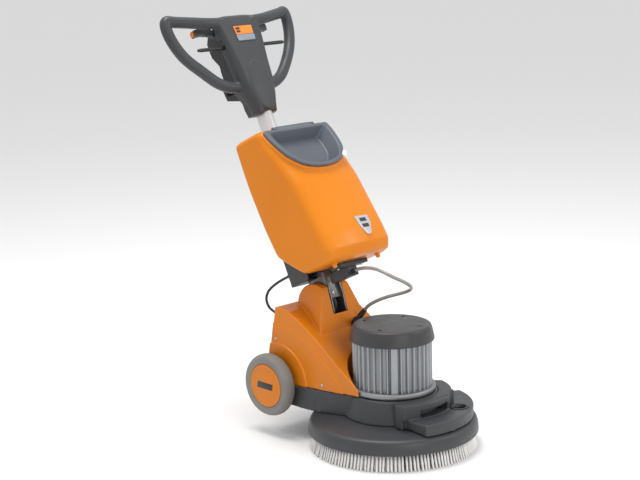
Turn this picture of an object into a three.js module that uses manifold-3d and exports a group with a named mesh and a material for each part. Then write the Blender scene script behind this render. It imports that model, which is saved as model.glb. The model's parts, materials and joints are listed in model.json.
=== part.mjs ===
// Rotary floor machine: a low deck that covers a driven brush, a finned motor on the deck,
// a wheeled chassis shell behind it, and a tilting handle that carries a solution tank.
// Units are millimetres. In the machine frame the origin is on the floor under the brush
// spindle, the wheels are towards +Y, the front is towards -Y and +Z is up.
// The handle frame has its origin at the tilt pivot, with +Z along the handle tube.

import * as THREE from 'three';
import { mergeVertices } from 'three/addons/utils/BufferGeometryUtils.js';
import { ConvexGeometry } from 'three/addons/geometries/ConvexGeometry.js';
import Module from 'manifold-3d';

const wasm = await Module();
wasm.setup();

// ---- driving dimensions ----
const GAP = 0.3;                       // left between faces that touch
const TURN = 2 * Math.PI;

const BRUSH_RADIUS = 215;
const BLOCK_RADIUS = 204;
const BRISTLE_HEIGHT = 39.7;
const HOOD_RADIUS = 218;
const HOOD_RIM_Z = 42.5;
const DECK_TOP = 148;
const DECK_ROUND_RADIUS = 113;
const DECK_FOOT_RADIUS = 130;
const LEDGE_TOP = 110;
const LEDGE_RADIUS = 205;

const MOTOR_FLANGE_RADIUS = 110;
const MOTOR_FOOT = 149.5;
const HOUSING_FOOT = 164.3;
const HOUSING_TOP = 281.7;
const FIN_RADIUS = 101.5;
const CAP_RADIUS = 108;
const CAP_FOOT = 282;
const CAP_TOP = 321;
const MOTOR_ROOM_RADIUS = 114;

const SUN_TEETH = 9;
const PLANET_TEETH = 21;
const RING_TEETH = 51;
const GEAR_MODULE = 2.75;
const GEAR_FOOT = 99;
const GEAR_TOP = 124;
const PLANET_CENTRE = GEAR_MODULE * (SUN_TEETH + PLANET_TEETH) / 2;
const PLANETS = 3;

const AXLE_Y = 297;
const AXLE_Z = 135;
const AXLE_RADIUS = 8;
const TYRE_RADIUS = 82.5;
const TYRE_INNER = 58;
const WHEEL_INNER_X = 134;
const WHEEL_OUTER_X = 172;
const WHEEL_STEPS = 24;

const SHELL_HALF = 115;
const SHELL_WALL = 4;
const PIVOT_Y = 228;
const PIVOT_Z = 333;
const DOME_RADIUS = 63.5;
const SLOT_HALF = 26;
const SLOT_RADIUS = 49;
const PIN_RADIUS = 8;

const HANDLE_LEAN = THREE.MathUtils.degToRad(25);
const TUBE_RADIUS = 23;
const TUBE_WALL = 2.5;
const TUBE_FOOT = 92;
const TUBE_TOP = 600;
const GRIP_RADIUS = 15.5;

const HOSE_RADIUS = 4.5;
const CABLE_RADIUS = 3.5;

// ---- solids ----
function solid(geometry) {
  const bare = geometry.clone();
  for (const name of Object.keys(bare.attributes)) {
    if (name !== 'position') bare.deleteAttribute(name);
  }
  const merged = mergeVertices(bare, 1e-4);
  const points = merged.attributes.position.array;
  const index = merged.index.array;
  const triangles = [];
  let volume = 0;
  const corner = [new THREE.Vector3(), new THREE.Vector3(), new THREE.Vector3()];
  for (let i = 0; i < index.length; i += 3) {
    const [a, b, c] = [index[i], index[i + 1], index[i + 2]];
    if (a === b || b === c || c === a) continue;
    triangles.push(a, b, c);
    [a, b, c].forEach((n, k) => corner[k].fromArray(points, 3 * n));
    volume += corner[0].dot(corner[1].cross(corner[2]));
  }
  if (volume < 0) triangles.reverse();
  return new wasm.Manifold(new wasm.Mesh({
    numProp: 3,
    vertProperties: new Float32Array(points),
    triVerts: new Uint32Array(triangles),
  }));
}

function joined(...pieces) {
  return pieces.reduce((sum, piece) => sum.add(piece));
}

function cut(body, ...tools) {
  return tools.reduce((rest, tool) => rest.subtract(tool), body);
}

function geometryOf(body) {
  const mesh = body.getMesh();
  const geometry = new THREE.BufferGeometry();
  geometry.setAttribute('position', new THREE.BufferAttribute(new Float32Array(mesh.vertProperties), 3));
  geometry.setIndex(new THREE.BufferAttribute(new Uint32Array(mesh.triVerts), 1));
  const flat = geometry.toNonIndexed();
  flat.computeVertexNormals();
  return flat;
}

function block(x0, x1, y0, y1, z0, z1) {
  const box = new THREE.BoxGeometry(x1 - x0, y1 - y0, z1 - z0);
  box.translate((x0 + x1) / 2, (y0 + y1) / 2, (z0 + z1) / 2);
  return solid(box);
}

// A prism along Z of an outline of [x, y] points.
function prismZ(outline, z0, z1) {
  const shape = new THREE.Shape(outline.map(([x, y]) => new THREE.Vector2(x, y)));
  const body = new THREE.ExtrudeGeometry(shape, { depth: z1 - z0, bevelEnabled: false, curveSegments: 12 });
  body.translate(0, 0, z0);
  return solid(body);
}

// A prism along X of an outline of [y, z] points.
function prismX(outline, x0, x1) {
  const shape = new THREE.Shape(outline.map(([y, z]) => new THREE.Vector2(y, z)));
  const body = new THREE.ExtrudeGeometry(shape, { depth: x1 - x0, bevelEnabled: false });
  body.applyMatrix4(new THREE.Matrix4().set(0, 0, 1, x0, 1, 0, 0, 0, 0, 1, 0, 0, 0, 0, 0, 1));
  return solid(body);
}

// A prism along Y of an outline of [x, z] points.
function prismY(outline, y0, y1) {
  const shape = new THREE.Shape(outline.map(([x, z]) => new THREE.Vector2(x, z)));
  const body = new THREE.ExtrudeGeometry(shape, { depth: y1 - y0, bevelEnabled: false });
  body.applyMatrix4(new THREE.Matrix4().set(1, 0, 0, 0, 0, 0, 1, y0, 0, 1, 0, 0, 0, 0, 0, 1));
  return solid(body);
}

// A turned body about Z at (x, y) of [radius, z] points that close on themselves or on the axis.
function turned(profile, steps = 24, x = 0, y = 0) {
  const points = profile.map(([r, z]) => new THREE.Vector2(r, z));
  if (profile[0][0] > 0) points.push(points[0].clone());
  const body = new THREE.LatheGeometry(points, steps);
  body.rotateX(Math.PI / 2);
  body.translate(x, y, 0);
  return solid(body);
}

// A turned body about a line along X through (y, z) of [radius, x] points.
function turnedX(profile, y, z, steps = 20) {
  const points = profile.map(([r, x]) => new THREE.Vector2(r, x));
  if (profile[0][0] > 0) points.push(points[0].clone());
  const body = new THREE.LatheGeometry(points, steps);
  body.rotateZ(-Math.PI / 2);
  body.translate(0, y, z);
  return solid(body);
}

function rod(radius, z0, z1, x = 0, y = 0, steps = 16) {
  return turned([[0, z0], [radius, z0], [radius, z1], [0, z1]], steps, x, y);
}

function rodX(radius, x0, x1, y, z, steps = 16) {
  return turnedX([[0, x0], [radius, x0], [radius, x1], [0, x1]], y, z, steps);
}

function ring(inner, outer, z0, z1, x = 0, y = 0, steps = 20) {
  return turned([[inner, z0], [outer, z0], [outer, z1], [inner, z1]], steps, x, y);
}

function hull(points) {
  return solid(new ConvexGeometry(points.map(([x, y, z]) => new THREE.Vector3(x, y, z))));
}

// The same points on both sides of the middle plane.
function mirrored(points) {
  return [...points, ...points.map(([x, y, z]) => [-x, y, z])];
}

// A round bar along a smooth curve through the points.
function bar(points, radius, sides, steps) {
  const curve = new THREE.CatmullRomCurve3(points.map((p) => new THREE.Vector3(...p)), false,
    'catmullrom', 0.5);
  const circle = new THREE.Shape();
  for (let i = 0; i < sides; i += 1) {
    const angle = TURN * i / sides;
    const at = [radius * Math.cos(angle), radius * Math.sin(angle)];
    if (i === 0) circle.moveTo(...at);
    else circle.lineTo(...at);
  }
  circle.closePath();
  return new THREE.ExtrudeGeometry(circle, { steps, extrudePath: curve, bevelEnabled: false });
}

function arc(cx, cy, radius, from, to, steps) {
  const points = [];
  for (let i = 0; i <= steps; i += 1) {
    const angle = THREE.MathUtils.degToRad(from + (to - from) * i / steps);
    points.push([cx + radius * Math.cos(angle), cy + radius * Math.sin(angle)]);
  }
  return points;
}

// ---- the scene graph ----
const machine = new THREE.Group();
const chassis = new THREE.Group();
const handle = new THREE.Group();
handle.position.set(0, PIVOT_Y, PIVOT_Z);
handle.rotation.x = -HANDLE_LEAN;
machine.add(chassis, handle);

const FINISHES = {
  greyPlastic: { color: '#4e5053', roughness: 0.55, metalness: 0 },
  capPlastic: { color: '#636263', roughness: 0.6, metalness: 0 },
  lidPlastic: { color: '#696f76', roughness: 0.45, metalness: 0 },
  orangePlastic: { color: '#ee8a1e', roughness: 0.4, metalness: 0 },
  blackPlastic: { color: '#1d1e20', roughness: 0.5, metalness: 0 },
  greyRubber: { color: '#94918c', roughness: 0.85, metalness: 0 },
  bristle: { color: '#e4e1dc', roughness: 0.8, metalness: 0 },
  castAluminium: { color: '#9b9da0', roughness: 0.45, metalness: 0.8 },
  brightAluminium: { color: '#e2e3e4', roughness: 0.25, metalness: 0.9 },
  steel: { color: '#8c8e91', roughness: 0.35, metalness: 0.9 },
  zincSteel: { color: '#b3b5b8', roughness: 0.35, metalness: 0.9 },
  gearSteel: { color: '#73767a', roughness: 0.3, metalness: 0.9 },
  brass: { color: '#b5893a', roughness: 0.35, metalness: 0.9 },
  copper: { color: '#a8612d', roughness: 0.45, metalness: 0.7 },
  hose: { color: '#a09d93', roughness: 0.35, metalness: 0 },
};

function place(group, name, shape, finish) {
  const geometry = shape.isBufferGeometry ? shape : geometryOf(shape);
  const mesh = new THREE.Mesh(geometry, new THREE.MeshStandardMaterial(FINISHES[finish]));
  mesh.name = name;
  group.add(mesh);
}

// ---- brush and its drive ----
function toothedOutline(teeth, tip, root, share) {
  const points = [];
  const pitch = TURN / teeth;
  for (let i = 0; i < teeth; i += 1) {
    const marks = [[root, -share * 0.72], [tip, -share * 0.34], [tip, share * 0.34], [root, share * 0.72]];
    for (const [radius, part] of marks) {
      const angle = pitch * (i + part);
      points.push([radius * Math.cos(angle), radius * Math.sin(angle)]);
    }
  }
  return points;
}

function turnedAbout(outline, angle) {
  const [c, s] = [Math.cos(angle), Math.sin(angle)];
  return outline.map(([x, y]) => [x * c - y * s, x * s + y * c]);
}

function shifted(outline, dx, dy) {
  return outline.map(([x, y]) => [x + dx, y + dy]);
}

const TOOTH_SHARE = 0.42;
const TOOTH_ADDENDUM = 0.8 * GEAR_MODULE;
const TOOTH_DEDENDUM = 1.15 * GEAR_MODULE;
const SUN_BORE = 6;
const PLANET_PIN = 5;
const RING_OUTER = 84;

function buildGears() {
  const sunPitch = GEAR_MODULE * SUN_TEETH / 2;
  const planetPitch = GEAR_MODULE * PLANET_TEETH / 2;
  const ringPitch = GEAR_MODULE * RING_TEETH / 2;
  const sun = prismZ(toothedOutline(SUN_TEETH, sunPitch + TOOTH_ADDENDUM, sunPitch - TOOTH_DEDENDUM,
    TOOTH_SHARE), GEAR_FOOT, GEAR_TOP);
  place(chassis, 'sun_gear', cut(sun, rod(SUN_BORE, GEAR_FOOT - 1, GEAR_TOP + 1, 0, 0, 16)), 'gearSteel');

  for (let k = 0; k < PLANETS; k += 1) {
    const angle = TURN * k / PLANETS;
    const [x, y] = [PLANET_CENTRE * Math.cos(angle), PLANET_CENTRE * Math.sin(angle)];
    const outline = toothedOutline(PLANET_TEETH, planetPitch + TOOTH_ADDENDUM,
      planetPitch - TOOTH_DEDENDUM, TOOTH_SHARE);
    const planet = prismZ(shifted(turnedAbout(outline, angle), x, y), GEAR_FOOT, GEAR_TOP);
    const bore = rod(PLANET_PIN + GAP, GEAR_FOOT - 1, GEAR_TOP + 1, x, y, 16);
    place(chassis, `planet_gear_${k + 1}`, cut(planet, bore), 'gearSteel');
  }

  const halfPitch = Math.PI / RING_TEETH;
  const bore = turnedAbout(toothedOutline(RING_TEETH, ringPitch - TOOTH_ADDENDUM,
    ringPitch + TOOTH_DEDENDUM, TOOTH_SHARE), halfPitch);
  const body = rod(RING_OUTER, GEAR_FOOT, GEAR_TOP, 0, 0, 24);
  place(chassis, 'ring_gear', cut(body, prismZ(bore, GEAR_FOOT - 1, GEAR_TOP + 1)), 'gearSteel');
}

const BEARING_INNER = 22.3;
const BEARING_OUTER = 40;
const HOOD_PLATE_FOOT = 70;
const HOOD_PLATE_TOP = 84;
const HUB_RADIUS = 58;

function buildBrush() {
  const carrierPins = [];
  for (let k = 0; k < PLANETS; k += 1) {
    const angle = TURN * k / PLANETS;
    const at = [PLANET_CENTRE * Math.cos(angle), PLANET_CENTRE * Math.sin(angle)];
    carrierPins.push(rod(PLANET_PIN, 90, GEAR_TOP + 2, ...at, 16));
  }
  const carrierDisc = turned([[0, 66.3], [22, 66.3], [22, 87], [58, 87], [58, 97], [0, 97]], 20);
  place(chassis, 'planet_carrier', joined(carrierDisc, ...carrierPins), 'castAluminium');
  place(chassis, 'brush_hub', turned([[0, 44], [HUB_RADIUS - 4, 44], [HUB_RADIUS, 48], [HUB_RADIUS, 56],
    [30, 66], [0, 66]], 20), 'blackPlastic');
  place(chassis, 'brush_block', turned([[60, BRISTLE_HEIGHT + GAP], [BLOCK_RADIUS, BRISTLE_HEIGHT + GAP],
    [BLOCK_RADIUS, 53], [BLOCK_RADIUS - 4, 57], [60, 57]], 36), 'blackPlastic');
  place(chassis, 'bristles', turned([[72, 0], [BRUSH_RADIUS, 0], [BRUSH_RADIUS - 9, BRISTLE_HEIGHT],
    [76, BRISTLE_HEIGHT]], 36), 'bristle');
  place(chassis, 'brush_bearing', ring(BEARING_INNER, BEARING_OUTER, HOOD_PLATE_FOOT + 1,
    HOOD_PLATE_TOP - 1), 'steel');
}

// ---- deck ----
function hoodOutline(rise) {
  return [[BEARING_OUTER + GAP, HOOD_PLATE_FOOT], [150, HOOD_PLATE_FOOT + 3], [203, 63], [212, 57],
    [214, HOOD_RIM_Z], [HOOD_RADIUS, HOOD_RIM_Z], [HOOD_RADIUS - 0.5, 62 + rise], [212.5, 75 + rise],
    [205, 79 + rise], [DECK_FOOT_RADIUS, 88 + rise], [95, 88 + rise], [95, HOOD_PLATE_TOP + rise],
    [BEARING_OUTER + GAP, HOOD_PLATE_TOP + rise]];
}

function abovePlate(rise) {
  const top = hoodOutline(rise).slice(4, 11);
  return turned([[0, HOOD_PLATE_FOOT], [HOOD_RADIUS, HOOD_PLATE_FOOT - 30], ...top.slice(1),
    [0, 88 + rise]], 36);
}

const ARM_TOP_REAR = 136;
const ARM_STEP_Y = 254;
const ARM_END = 328;
const ARM_HALF = 128;
const ARM_FOOT = 84;
const AXLE_BOSS_TOP = 154;
const GEARBOX_RADIUS = RING_OUTER + GAP;

function deckProfile() {
  return [[-140, ARM_FOOT - 8], [ARM_END, ARM_FOOT], [ARM_END + 4, AXLE_BOSS_TOP],
    [ARM_STEP_Y, AXLE_BOSS_TOP], [ARM_STEP_Y, ARM_TOP_REAR], [20, DECK_TOP], [-140, DECK_TOP]];
}

function buildDeck() {
  place(chassis, 'deck_hood', turned(hoodOutline(0), 36), 'greyPlastic');

  const round = turned([[0, 80], [DECK_FOOT_RADIUS, 80], [DECK_ROUND_RADIUS + 3, DECK_TOP - 4],
    [DECK_ROUND_RADIUS - 1, DECK_TOP], [0, DECK_TOP]], 36);
  const plan = [[-100, 10], [-112, 60], [-ARM_HALF, 225], [-ARM_HALF, ARM_END - 12],
    [-ARM_HALF + 12, ARM_END + 6], [ARM_HALF - 12, ARM_END + 6], [ARM_HALF, ARM_END - 12],
    [ARM_HALF, 225], [112, 60], [100, 10]];
  const arm = prismX(deckProfile(), -150, 150).intersect(prismZ(plan, 60, 170));
  const gearbox = rod(GEARBOX_RADIUS, 60, GEAR_TOP + 12, 0, 0, 24);
  const shaftHole = rod(20.5, 100, 160, 0, 0, 20);
  const armCavity = block(-ARM_HALF + 8, ARM_HALF - 8, 150, ARM_END - 10, 60, ARM_TOP_REAR - 8);
  const axleHole = rodX(AXLE_RADIUS + GAP, -140, 140, AXLE_Y, AXLE_Z);
  place(chassis, 'deck_cover', cut(joined(round, arm), gearbox, shaftHole, armCavity, axleHole,
    abovePlate(GAP)), 'greyPlastic');
  buildGrip();
}

const PORT = [88, -146];
const PORT_RADIUS = 25;
const GRIP_SLOT = { half: 50, foot: 112.5, top: 131, back: -112 };

// The carrying grip and shelf that wraps the front and right of the deck cover.
function buildGrip() {
  const sweep = (radius) => arc(0, 0, radius, -125, -15, 14);
  const ledge = prismZ([...sweep(LEDGE_RADIUS), [160, -32], [0, 0]], 60, LEDGE_TOP);
  const shelf = prismZ([...sweep(150), [130, -20], [0, 0]], 80, DECK_TOP - 2);
  const gripFront = [[-98, -99], [-96, -128], [-60, -134], [0, -138], [60, -134], [98, -121], [98, -80],
    [0, -20]];
  const grip = prismZ(gripFront, 80, DECK_TOP);
  const leftCut = prismZ([[-150, -230], [-81, -230], [-83, -121], [-150, -121]], 50, LEDGE_TOP + 1);
  const coverRound = turned([[0, 60], [DECK_FOOT_RADIUS + 5.5, 60], [DECK_FOOT_RADIUS + GAP, 79],
    [DECK_ROUND_RADIUS + 3 + GAP, DECK_TOP - 4], [DECK_ROUND_RADIUS + 3 + GAP, 170], [0, 170]], 36);
  const slot = block(-GRIP_SLOT.half, GRIP_SLOT.half, -150, GRIP_SLOT.back, GRIP_SLOT.foot, GRIP_SLOT.top);
  const port = rod(PORT_RADIUS + GAP, 60, 170, ...PORT, 20);
  const whole = joined(ledge, shelf, grip);
  place(chassis, 'front_grip', cut(whole, leftCut, coverRound, slot, port, abovePlate(2.5)), 'greyPlastic');
  place(chassis, 'port_ring', turned([[15, 94], [PORT_RADIUS, 94], [PORT_RADIUS, LEDGE_TOP + 1.5],
    [19, LEDGE_TOP + 1.5], [15, 104]], 20, ...PORT), 'blackPlastic');
}

// ---- motor ----
function finOutline() {
  const fins = 36;
  const points = [];
  for (let i = 0; i < fins; i += 1) {
    for (const [radius, part] of [[93, -0.28], [FIN_RADIUS, -0.2], [FIN_RADIUS, 0.2], [93, 0.28]]) {
      const angle = TURN * (i + part) / fins;
      points.push([radius * Math.cos(angle), radius * Math.sin(angle)]);
    }
  }
  return points;
}

const HOUSING_BORE = 84;
const SHAFT_RADIUS = 10;

function buildMotor() {
  const fins = cut(prismZ(finOutline(), HOUSING_FOOT, HOUSING_TOP),
    rod(HOUSING_BORE, HOUSING_FOOT - 1, HOUSING_TOP + 1, 0, 0, 24));
  const endShield = ring(24.3, HOUSING_BORE + 2, 266, 278);
  place(chassis, 'motor_housing', joined(fins, endShield), 'castAluminium');
  place(chassis, 'motor_flange', turned([[18.3, MOTOR_FOOT], [106, MOTOR_FOOT],
    [MOTOR_FLANGE_RADIUS, 153], [MOTOR_FLANGE_RADIUS, 161], [107, 164], [18.3, 164]], 32), 'castAluminium');
  place(chassis, 'motor_cap', turned([[0, CAP_TOP - 4], [96, CAP_TOP - 4], [100, CAP_TOP - 8],
    [104, CAP_FOOT], [CAP_RADIUS, CAP_FOOT], [103, CAP_TOP - 9], [101, CAP_TOP - 4], [95, CAP_TOP],
    [0, CAP_TOP]], 36), 'capPlastic');
  place(chassis, 'stator', ring(55, HOUSING_BORE - GAP, 190, 254, 0, 0, 24), 'copper');
  place(chassis, 'upper_bearing', ring(SHAFT_RADIUS + GAP, 24, 267, 277), 'steel');
  place(chassis, 'lower_bearing', ring(SHAFT_RADIUS + GAP, 18, 151, 163), 'steel');
}

const FAN_BLADES = 6;

function buildRotor() {
  place(chassis, 'rotor_shaft', turned([[0, 98.3], [SUN_BORE - GAP, 98.3], [SUN_BORE - GAP, 125],
    [SHAFT_RADIUS, 125], [SHAFT_RADIUS, 302], [0, 302]], 24), 'steel');
  place(chassis, 'rotor_core', ring(SHAFT_RADIUS + GAP, 54, 192, 252), 'steel');
  const hub = ring(SHAFT_RADIUS + GAP, 24, 284, 304, 0, 0, 16);
  const disc = ring(20, 92, 284, 287, 0, 0, 20);
  const blades = [];
  for (let i = 0; i < FAN_BLADES; i += 1) {
    const outline = [[20, -1.5], [88, -1.5], [88, 1.5], [20, 1.5]];
    blades.push(prismZ(turnedAbout(outline, TURN * i / FAN_BLADES), 285, 306));
  }
  place(chassis, 'cooling_fan', joined(hub, disc, ...blades), 'blackPlastic');
}

// ---- chassis shell ----
const PANEL_EDGE = [[10, 166], [80, 213], [142, 259], [190, 291], [231, 315], [262, 328], [300, 334]];

function panelProfile(inset) {
  const top = PANEL_EDGE.map(([y, z]) => [y, z - inset]);
  return [[10 + inset, MOTOR_FOOT + 0.5 - inset], [248, ARM_TOP_REAR + 1.2 - 2 * inset],
    [ARM_STEP_Y - 1, ARM_TOP_REAR + 1.2 - 2 * inset], [ARM_STEP_Y - 1 + inset, AXLE_BOSS_TOP + GAP - inset],
    [334 - inset, AXLE_BOSS_TOP + GAP - inset], [334 - inset, 202], [311 - inset, 334 - inset],
    ...top.reverse()];
}

// Cheeks with a dome over the pivot: the front face leans back and flares towards its foot.
function cheekHull(inset) {
  const arcPoints = arc(PIVOT_Y + 2, PIVOT_Z - 2, DOME_RADIUS - inset, 0, 108, 9);
  const side = [...arcPoints.map(([y, z]) => [-48 + inset, y, z]), [-90 + inset, 167 + inset, 277],
    [-88 + inset, 167 + inset, 240], [-50 + inset, 297 - inset, 240]];
  return hull(mirrored(side));
}

function discX(radius, y, z, half, steps = 28) {
  return rodX(radius, -half, half, y, z, steps);
}

const ARCH_RADIUS = 104;
const ARCH_LIP = 7;
const BAND_LIP = 3;
const BAND_EDGE = [[60, 120], [64, 150], [100, 192], [147, 231], [190, 260], [229, 276], [309, 292],
  [340, 292], [340, 120]];
const SIDE_SCREWS = [[308, 249], [138, 155]];

function buildShell() {
  const panel = prismX(panelProfile(0), -SHELL_HALF, SHELL_HALF);
  const widePanel = prismX(panelProfile(0), -150, 150);
  const arch = discX(ARCH_RADIUS, AXLE_Y, AXLE_Z, SHELL_HALF + ARCH_LIP, 32).intersect(widePanel);
  const band = prismX(BAND_EDGE, -SHELL_HALF - BAND_LIP, SHELL_HALF + BAND_LIP).intersect(widePanel);
  const motorRoom = joined(rod(MOTOR_ROOM_RADIUS, 100, 400, 0, 0, 40),
    rod(DECK_ROUND_RADIUS + 5, 100, DECK_TOP + 0.5, 0, 0, 40));
  const outer = joined(panel, arch, band, cheekHull(0));

  const slot = joined(discX(SLOT_RADIUS, PIVOT_Y, PIVOT_Z, SLOT_HALF),
    block(-SLOT_HALF, SLOT_HALF, 150, PIVOT_Y + 61, PIVOT_Z, PIVOT_Z + 80));
  const slotLining = joined(discX(SLOT_RADIUS + 3, PIVOT_Y, PIVOT_Z, SLOT_HALF + 2.5),
    block(-SLOT_HALF - 2.5, SLOT_HALF + 2.5, 140, PIVOT_Y + 63.5, PIVOT_Z - 3, PIVOT_Z + 80));
  const room = prismX(panelProfile(SHELL_WALL), SHELL_WALL - SHELL_HALF, SHELL_HALF - SHELL_WALL);
  const cheekRoom = cheekHull(SHELL_WALL);
  const hollow = cut(joined(room, cheekRoom), rod(MOTOR_ROOM_RADIUS + SHELL_WALL, 100, 400, 0, 0, 40),
    slotLining);
  const pinHole = rodX(PIN_RADIUS + GAP, -SLOT_HALF - 4, SLOT_HALF + 4, PIVOT_Y, PIVOT_Z);
  const screwHoles = SIDE_SCREWS.map(([y, z]) => rodX(4, -130, 130, y, z, 12));
  place(chassis, 'chassis_shell', cut(outer, motorRoom, hollow, slot, pinHole, hoseFittingHole(),
    cableGlandHole(), ...screwHoles), 'orangePlastic');
}

function buildPivot() {
  const plate = [[176, 141.5], [250, 139], [250, 155.5], [300, 155.5], [300, 172],
    ...arc(PIVOT_Y, PIVOT_Z, 26, 0, 180, 10), [176, 172]];
  const left = prismX(plate, -35, -29);
  const right = prismX(plate, 29, 35);
  const web = block(-30, 30, 178, 184, 142, 262);
  const pinHole = rodX(PIN_RADIUS + GAP, -40, 40, PIVOT_Y, PIVOT_Z);
  place(chassis, 'pivot_frame', cut(joined(left, right, web), pinHole), 'steel');
  place(chassis, 'pivot_pin', rodX(PIN_RADIUS, -42, 42, PIVOT_Y, PIVOT_Z), 'zincSteel');

  // A notched quadrant, fixed on the pin, that the lock rod drops into.
  const notches = [];
  for (let lean = -10; lean <= 55; lean += 5) {
    const notch = block(-6, 6, -2.3, 2.3, 23.6, 34).rotate([-lean, 0, 0]).translate([0, PIVOT_Y, PIVOT_Z]);
    notches.push(notch);
  }
  const sector = discX(30, PIVOT_Y, PIVOT_Z, 4, 24);
  place(chassis, 'lock_sector', cut(sector, rodX(PIN_RADIUS + GAP, -5, 5, PIVOT_Y, PIVOT_Z), ...notches),
    'steel');
  place(chassis, 'start_capacitor', rod(20, 160, 240, -78, 250, 24), 'greyPlastic');
}

// ---- hose fitting, cable glands and their holes in the shell ----
const FITTING_FOOT = [36, 169, 283];
const FITTING_LEAN = 42;
const GLAND_AT = [-60, 319, 288];
const GLAND_SLOPE = 14;

function alongFitting(body) {
  return body.rotate([FITTING_LEAN, 0, 0]).translate(FITTING_FOOT);
}

function alongGland(body) {
  return body.rotate([-90 - GLAND_SLOPE, 0, 0]).translate(GLAND_AT);
}

function hoseFittingHole() {
  return alongFitting(rod(9 + GAP, -30, 30));
}

function cableGlandHole() {
  return alongGland(rod(6 + GAP, -20, 20));
}

function buildFittings() {
  place(chassis, 'hose_fitting', alongFitting(turned([[0, -14], [9, -14], [9, 12], [7.5, 14], [7.5, 60],
    [0, 60]], 20)), 'blackPlastic');
  place(chassis, 'cable_gland_shell', alongGland(turned([[0, -8], [6, -8], [6, 5], [8, 5.5], [8, 9],
    [4.5, 18], [0, 18]], 20)), 'blackPlastic');
}

// ---- wheels ----
function buildWheels() {
  place(chassis, 'axle', rodX(AXLE_RADIUS, -163, 163, AXLE_Y, AXLE_Z), 'zincSteel');
  for (const [side, sign] of [['left', -1], ['right', 1]]) {
    const flip = (profile) => profile.map(([r, x]) => [r, sign * x]);
    const [inner, outer] = [WHEEL_INNER_X, WHEEL_OUTER_X];
    place(chassis, `tyre_${side}`, turnedX(flip([[TYRE_INNER, inner + 3], [74, inner], [80, inner + 4],
      [TYRE_RADIUS, inner + 12], [TYRE_RADIUS, outer - 12], [80, outer - 4], [74, outer],
      [TYRE_INNER, outer - 3]]), AXLE_Y, AXLE_Z, WHEEL_STEPS), 'greyRubber');
    place(chassis, `wheel_hub_${side}`, turnedX(flip([[12, inner + 2], [30, inner + 2], [30, inner + 12],
      [TYRE_INNER - GAP, inner + 12], [TYRE_INNER - GAP, outer - 7], [12, outer - 7]]), AXLE_Y, AXLE_Z,
    WHEEL_STEPS), 'greyPlastic');
    place(chassis, `wheel_bush_${side}`, turnedX(flip([[AXLE_RADIUS + GAP, inner + 1],
      [12 - GAP, inner + 1], [12 - GAP, outer - 9], [AXLE_RADIUS + GAP, outer - 9]]), AXLE_Y, AXLE_Z, 16),
    'brass');
    place(chassis, `hub_cap_${side}`, turnedX(flip([[0, outer - 6.7], [TYRE_INNER - 0.6, outer - 6.7],
      [TYRE_INNER - 0.6, outer - 3], [54, outer - 1.5], [0, outer - 0.5]]), AXLE_Y, AXLE_Z, WHEEL_STEPS),
    'orangePlastic');
  }
}

// ---- handle: neck, tube and bracket box (handle frame) ----
function buildNeck() {
  const flange = [[-38, -22], ...arc(0, 0, 46, 209, 300, 6), [21, 0], [21, 70], [26, 89], [-30, 89],
    [-45, 78], [-45, 16]];
  const left = prismX(flange, -24, -20);
  const right = prismX(flange, 20, 24);
  const web = block(-21, 21, -33, -29.6, 10, 89);
  const top = block(-24, 24, -30, 26, 84, 89);
  const socket = ring(TUBE_RADIUS + GAP, 30, 88, 150, 0, 0, 20);
  const rodHole = rod(7, 60, 100, 0, 0, 20);
  const pinHole = rodX(PIN_RADIUS + GAP, -30, 30, 0, 0);
  place(handle, 'neck_bracket', cut(joined(left, right, web, top, socket), rodHole, pinHole), 'steel');
  place(handle, 'handle_tube', ring(TUBE_RADIUS - TUBE_WALL, TUBE_RADIUS, TUBE_FOOT, TUBE_TOP, 0, 0, 20),
    'brightAluminium');
}

const LOCK_TIP = 24.6;
const ROD_COLLAR_FOOT = 694;

function buildLock() {
  place(handle, 'lock_rod', turned([[0, LOCK_TIP], [2, LOCK_TIP], [4, LOCK_TIP + 6], [4, 66], [8, 66],
    [8, 69], [3, 69], [3, ROD_COLLAR_FOOT], [8, ROD_COLLAR_FOOT], [8, ROD_COLLAR_FOOT + 3],
    [0, ROD_COLLAR_FOOT + 3]], 16), 'zincSteel');
  const coil = [];
  const turns = 3;
  for (let i = 0; i <= turns * 8; i += 1) {
    const angle = TURN * i / 8;
    coil.push([5.6 * Math.cos(angle), 5.6 * Math.sin(angle), 70.2 + 1.1 + 11 * i / (turns * 8)]);
  }
  place(handle, 'lock_spring', bar(coil, 0.9, 4, turns * 8), 'steel');
}

const BOX_HALF = 60;
const BOX_FOOT = 70;
const BOX_TOP = 190;
const BOX_REAR = 48;
const BOX_GLAND = [-48, BOX_REAR, 104];

function buildBracketBox() {
  const outer = prismX([[-24, BOX_FOOT + 6], [-14, BOX_FOOT], [BOX_REAR, BOX_FOOT], [BOX_REAR, BOX_TOP - 8],
    [BOX_REAR - 8, BOX_TOP], [-24, BOX_TOP]], -BOX_HALF, BOX_HALF);
  const room = block(-BOX_HALF + 3, BOX_HALF - 3, -30, BOX_REAR - 3, BOX_FOOT + 3, BOX_TOP - 3);
  const neckRoom = block(-25, 25, -60, 31, 60, 160);
  const tubeRoom = rod(TUBE_RADIUS + 2, 60, 300, 0, 0, 20);
  const glandHole = rod(6 + GAP, -10, 10, 0, 0, 16).rotate([-90, 0, 0]).translate(BOX_GLAND);
  place(handle, 'bracket_box', cut(outer, room, neckRoom, tubeRoom, tankHull(-1.2), glandHole), 'greyPlastic');
  const gland = turned([[0, -6], [6, -6], [6, 1], [8, 1], [8, 5], [5, 12], [0, 12]], 20);
  place(handle, 'cable_gland_box', gland.rotate([-90, 0, 0]).translate(BOX_GLAND), 'blackPlastic');
}

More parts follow.
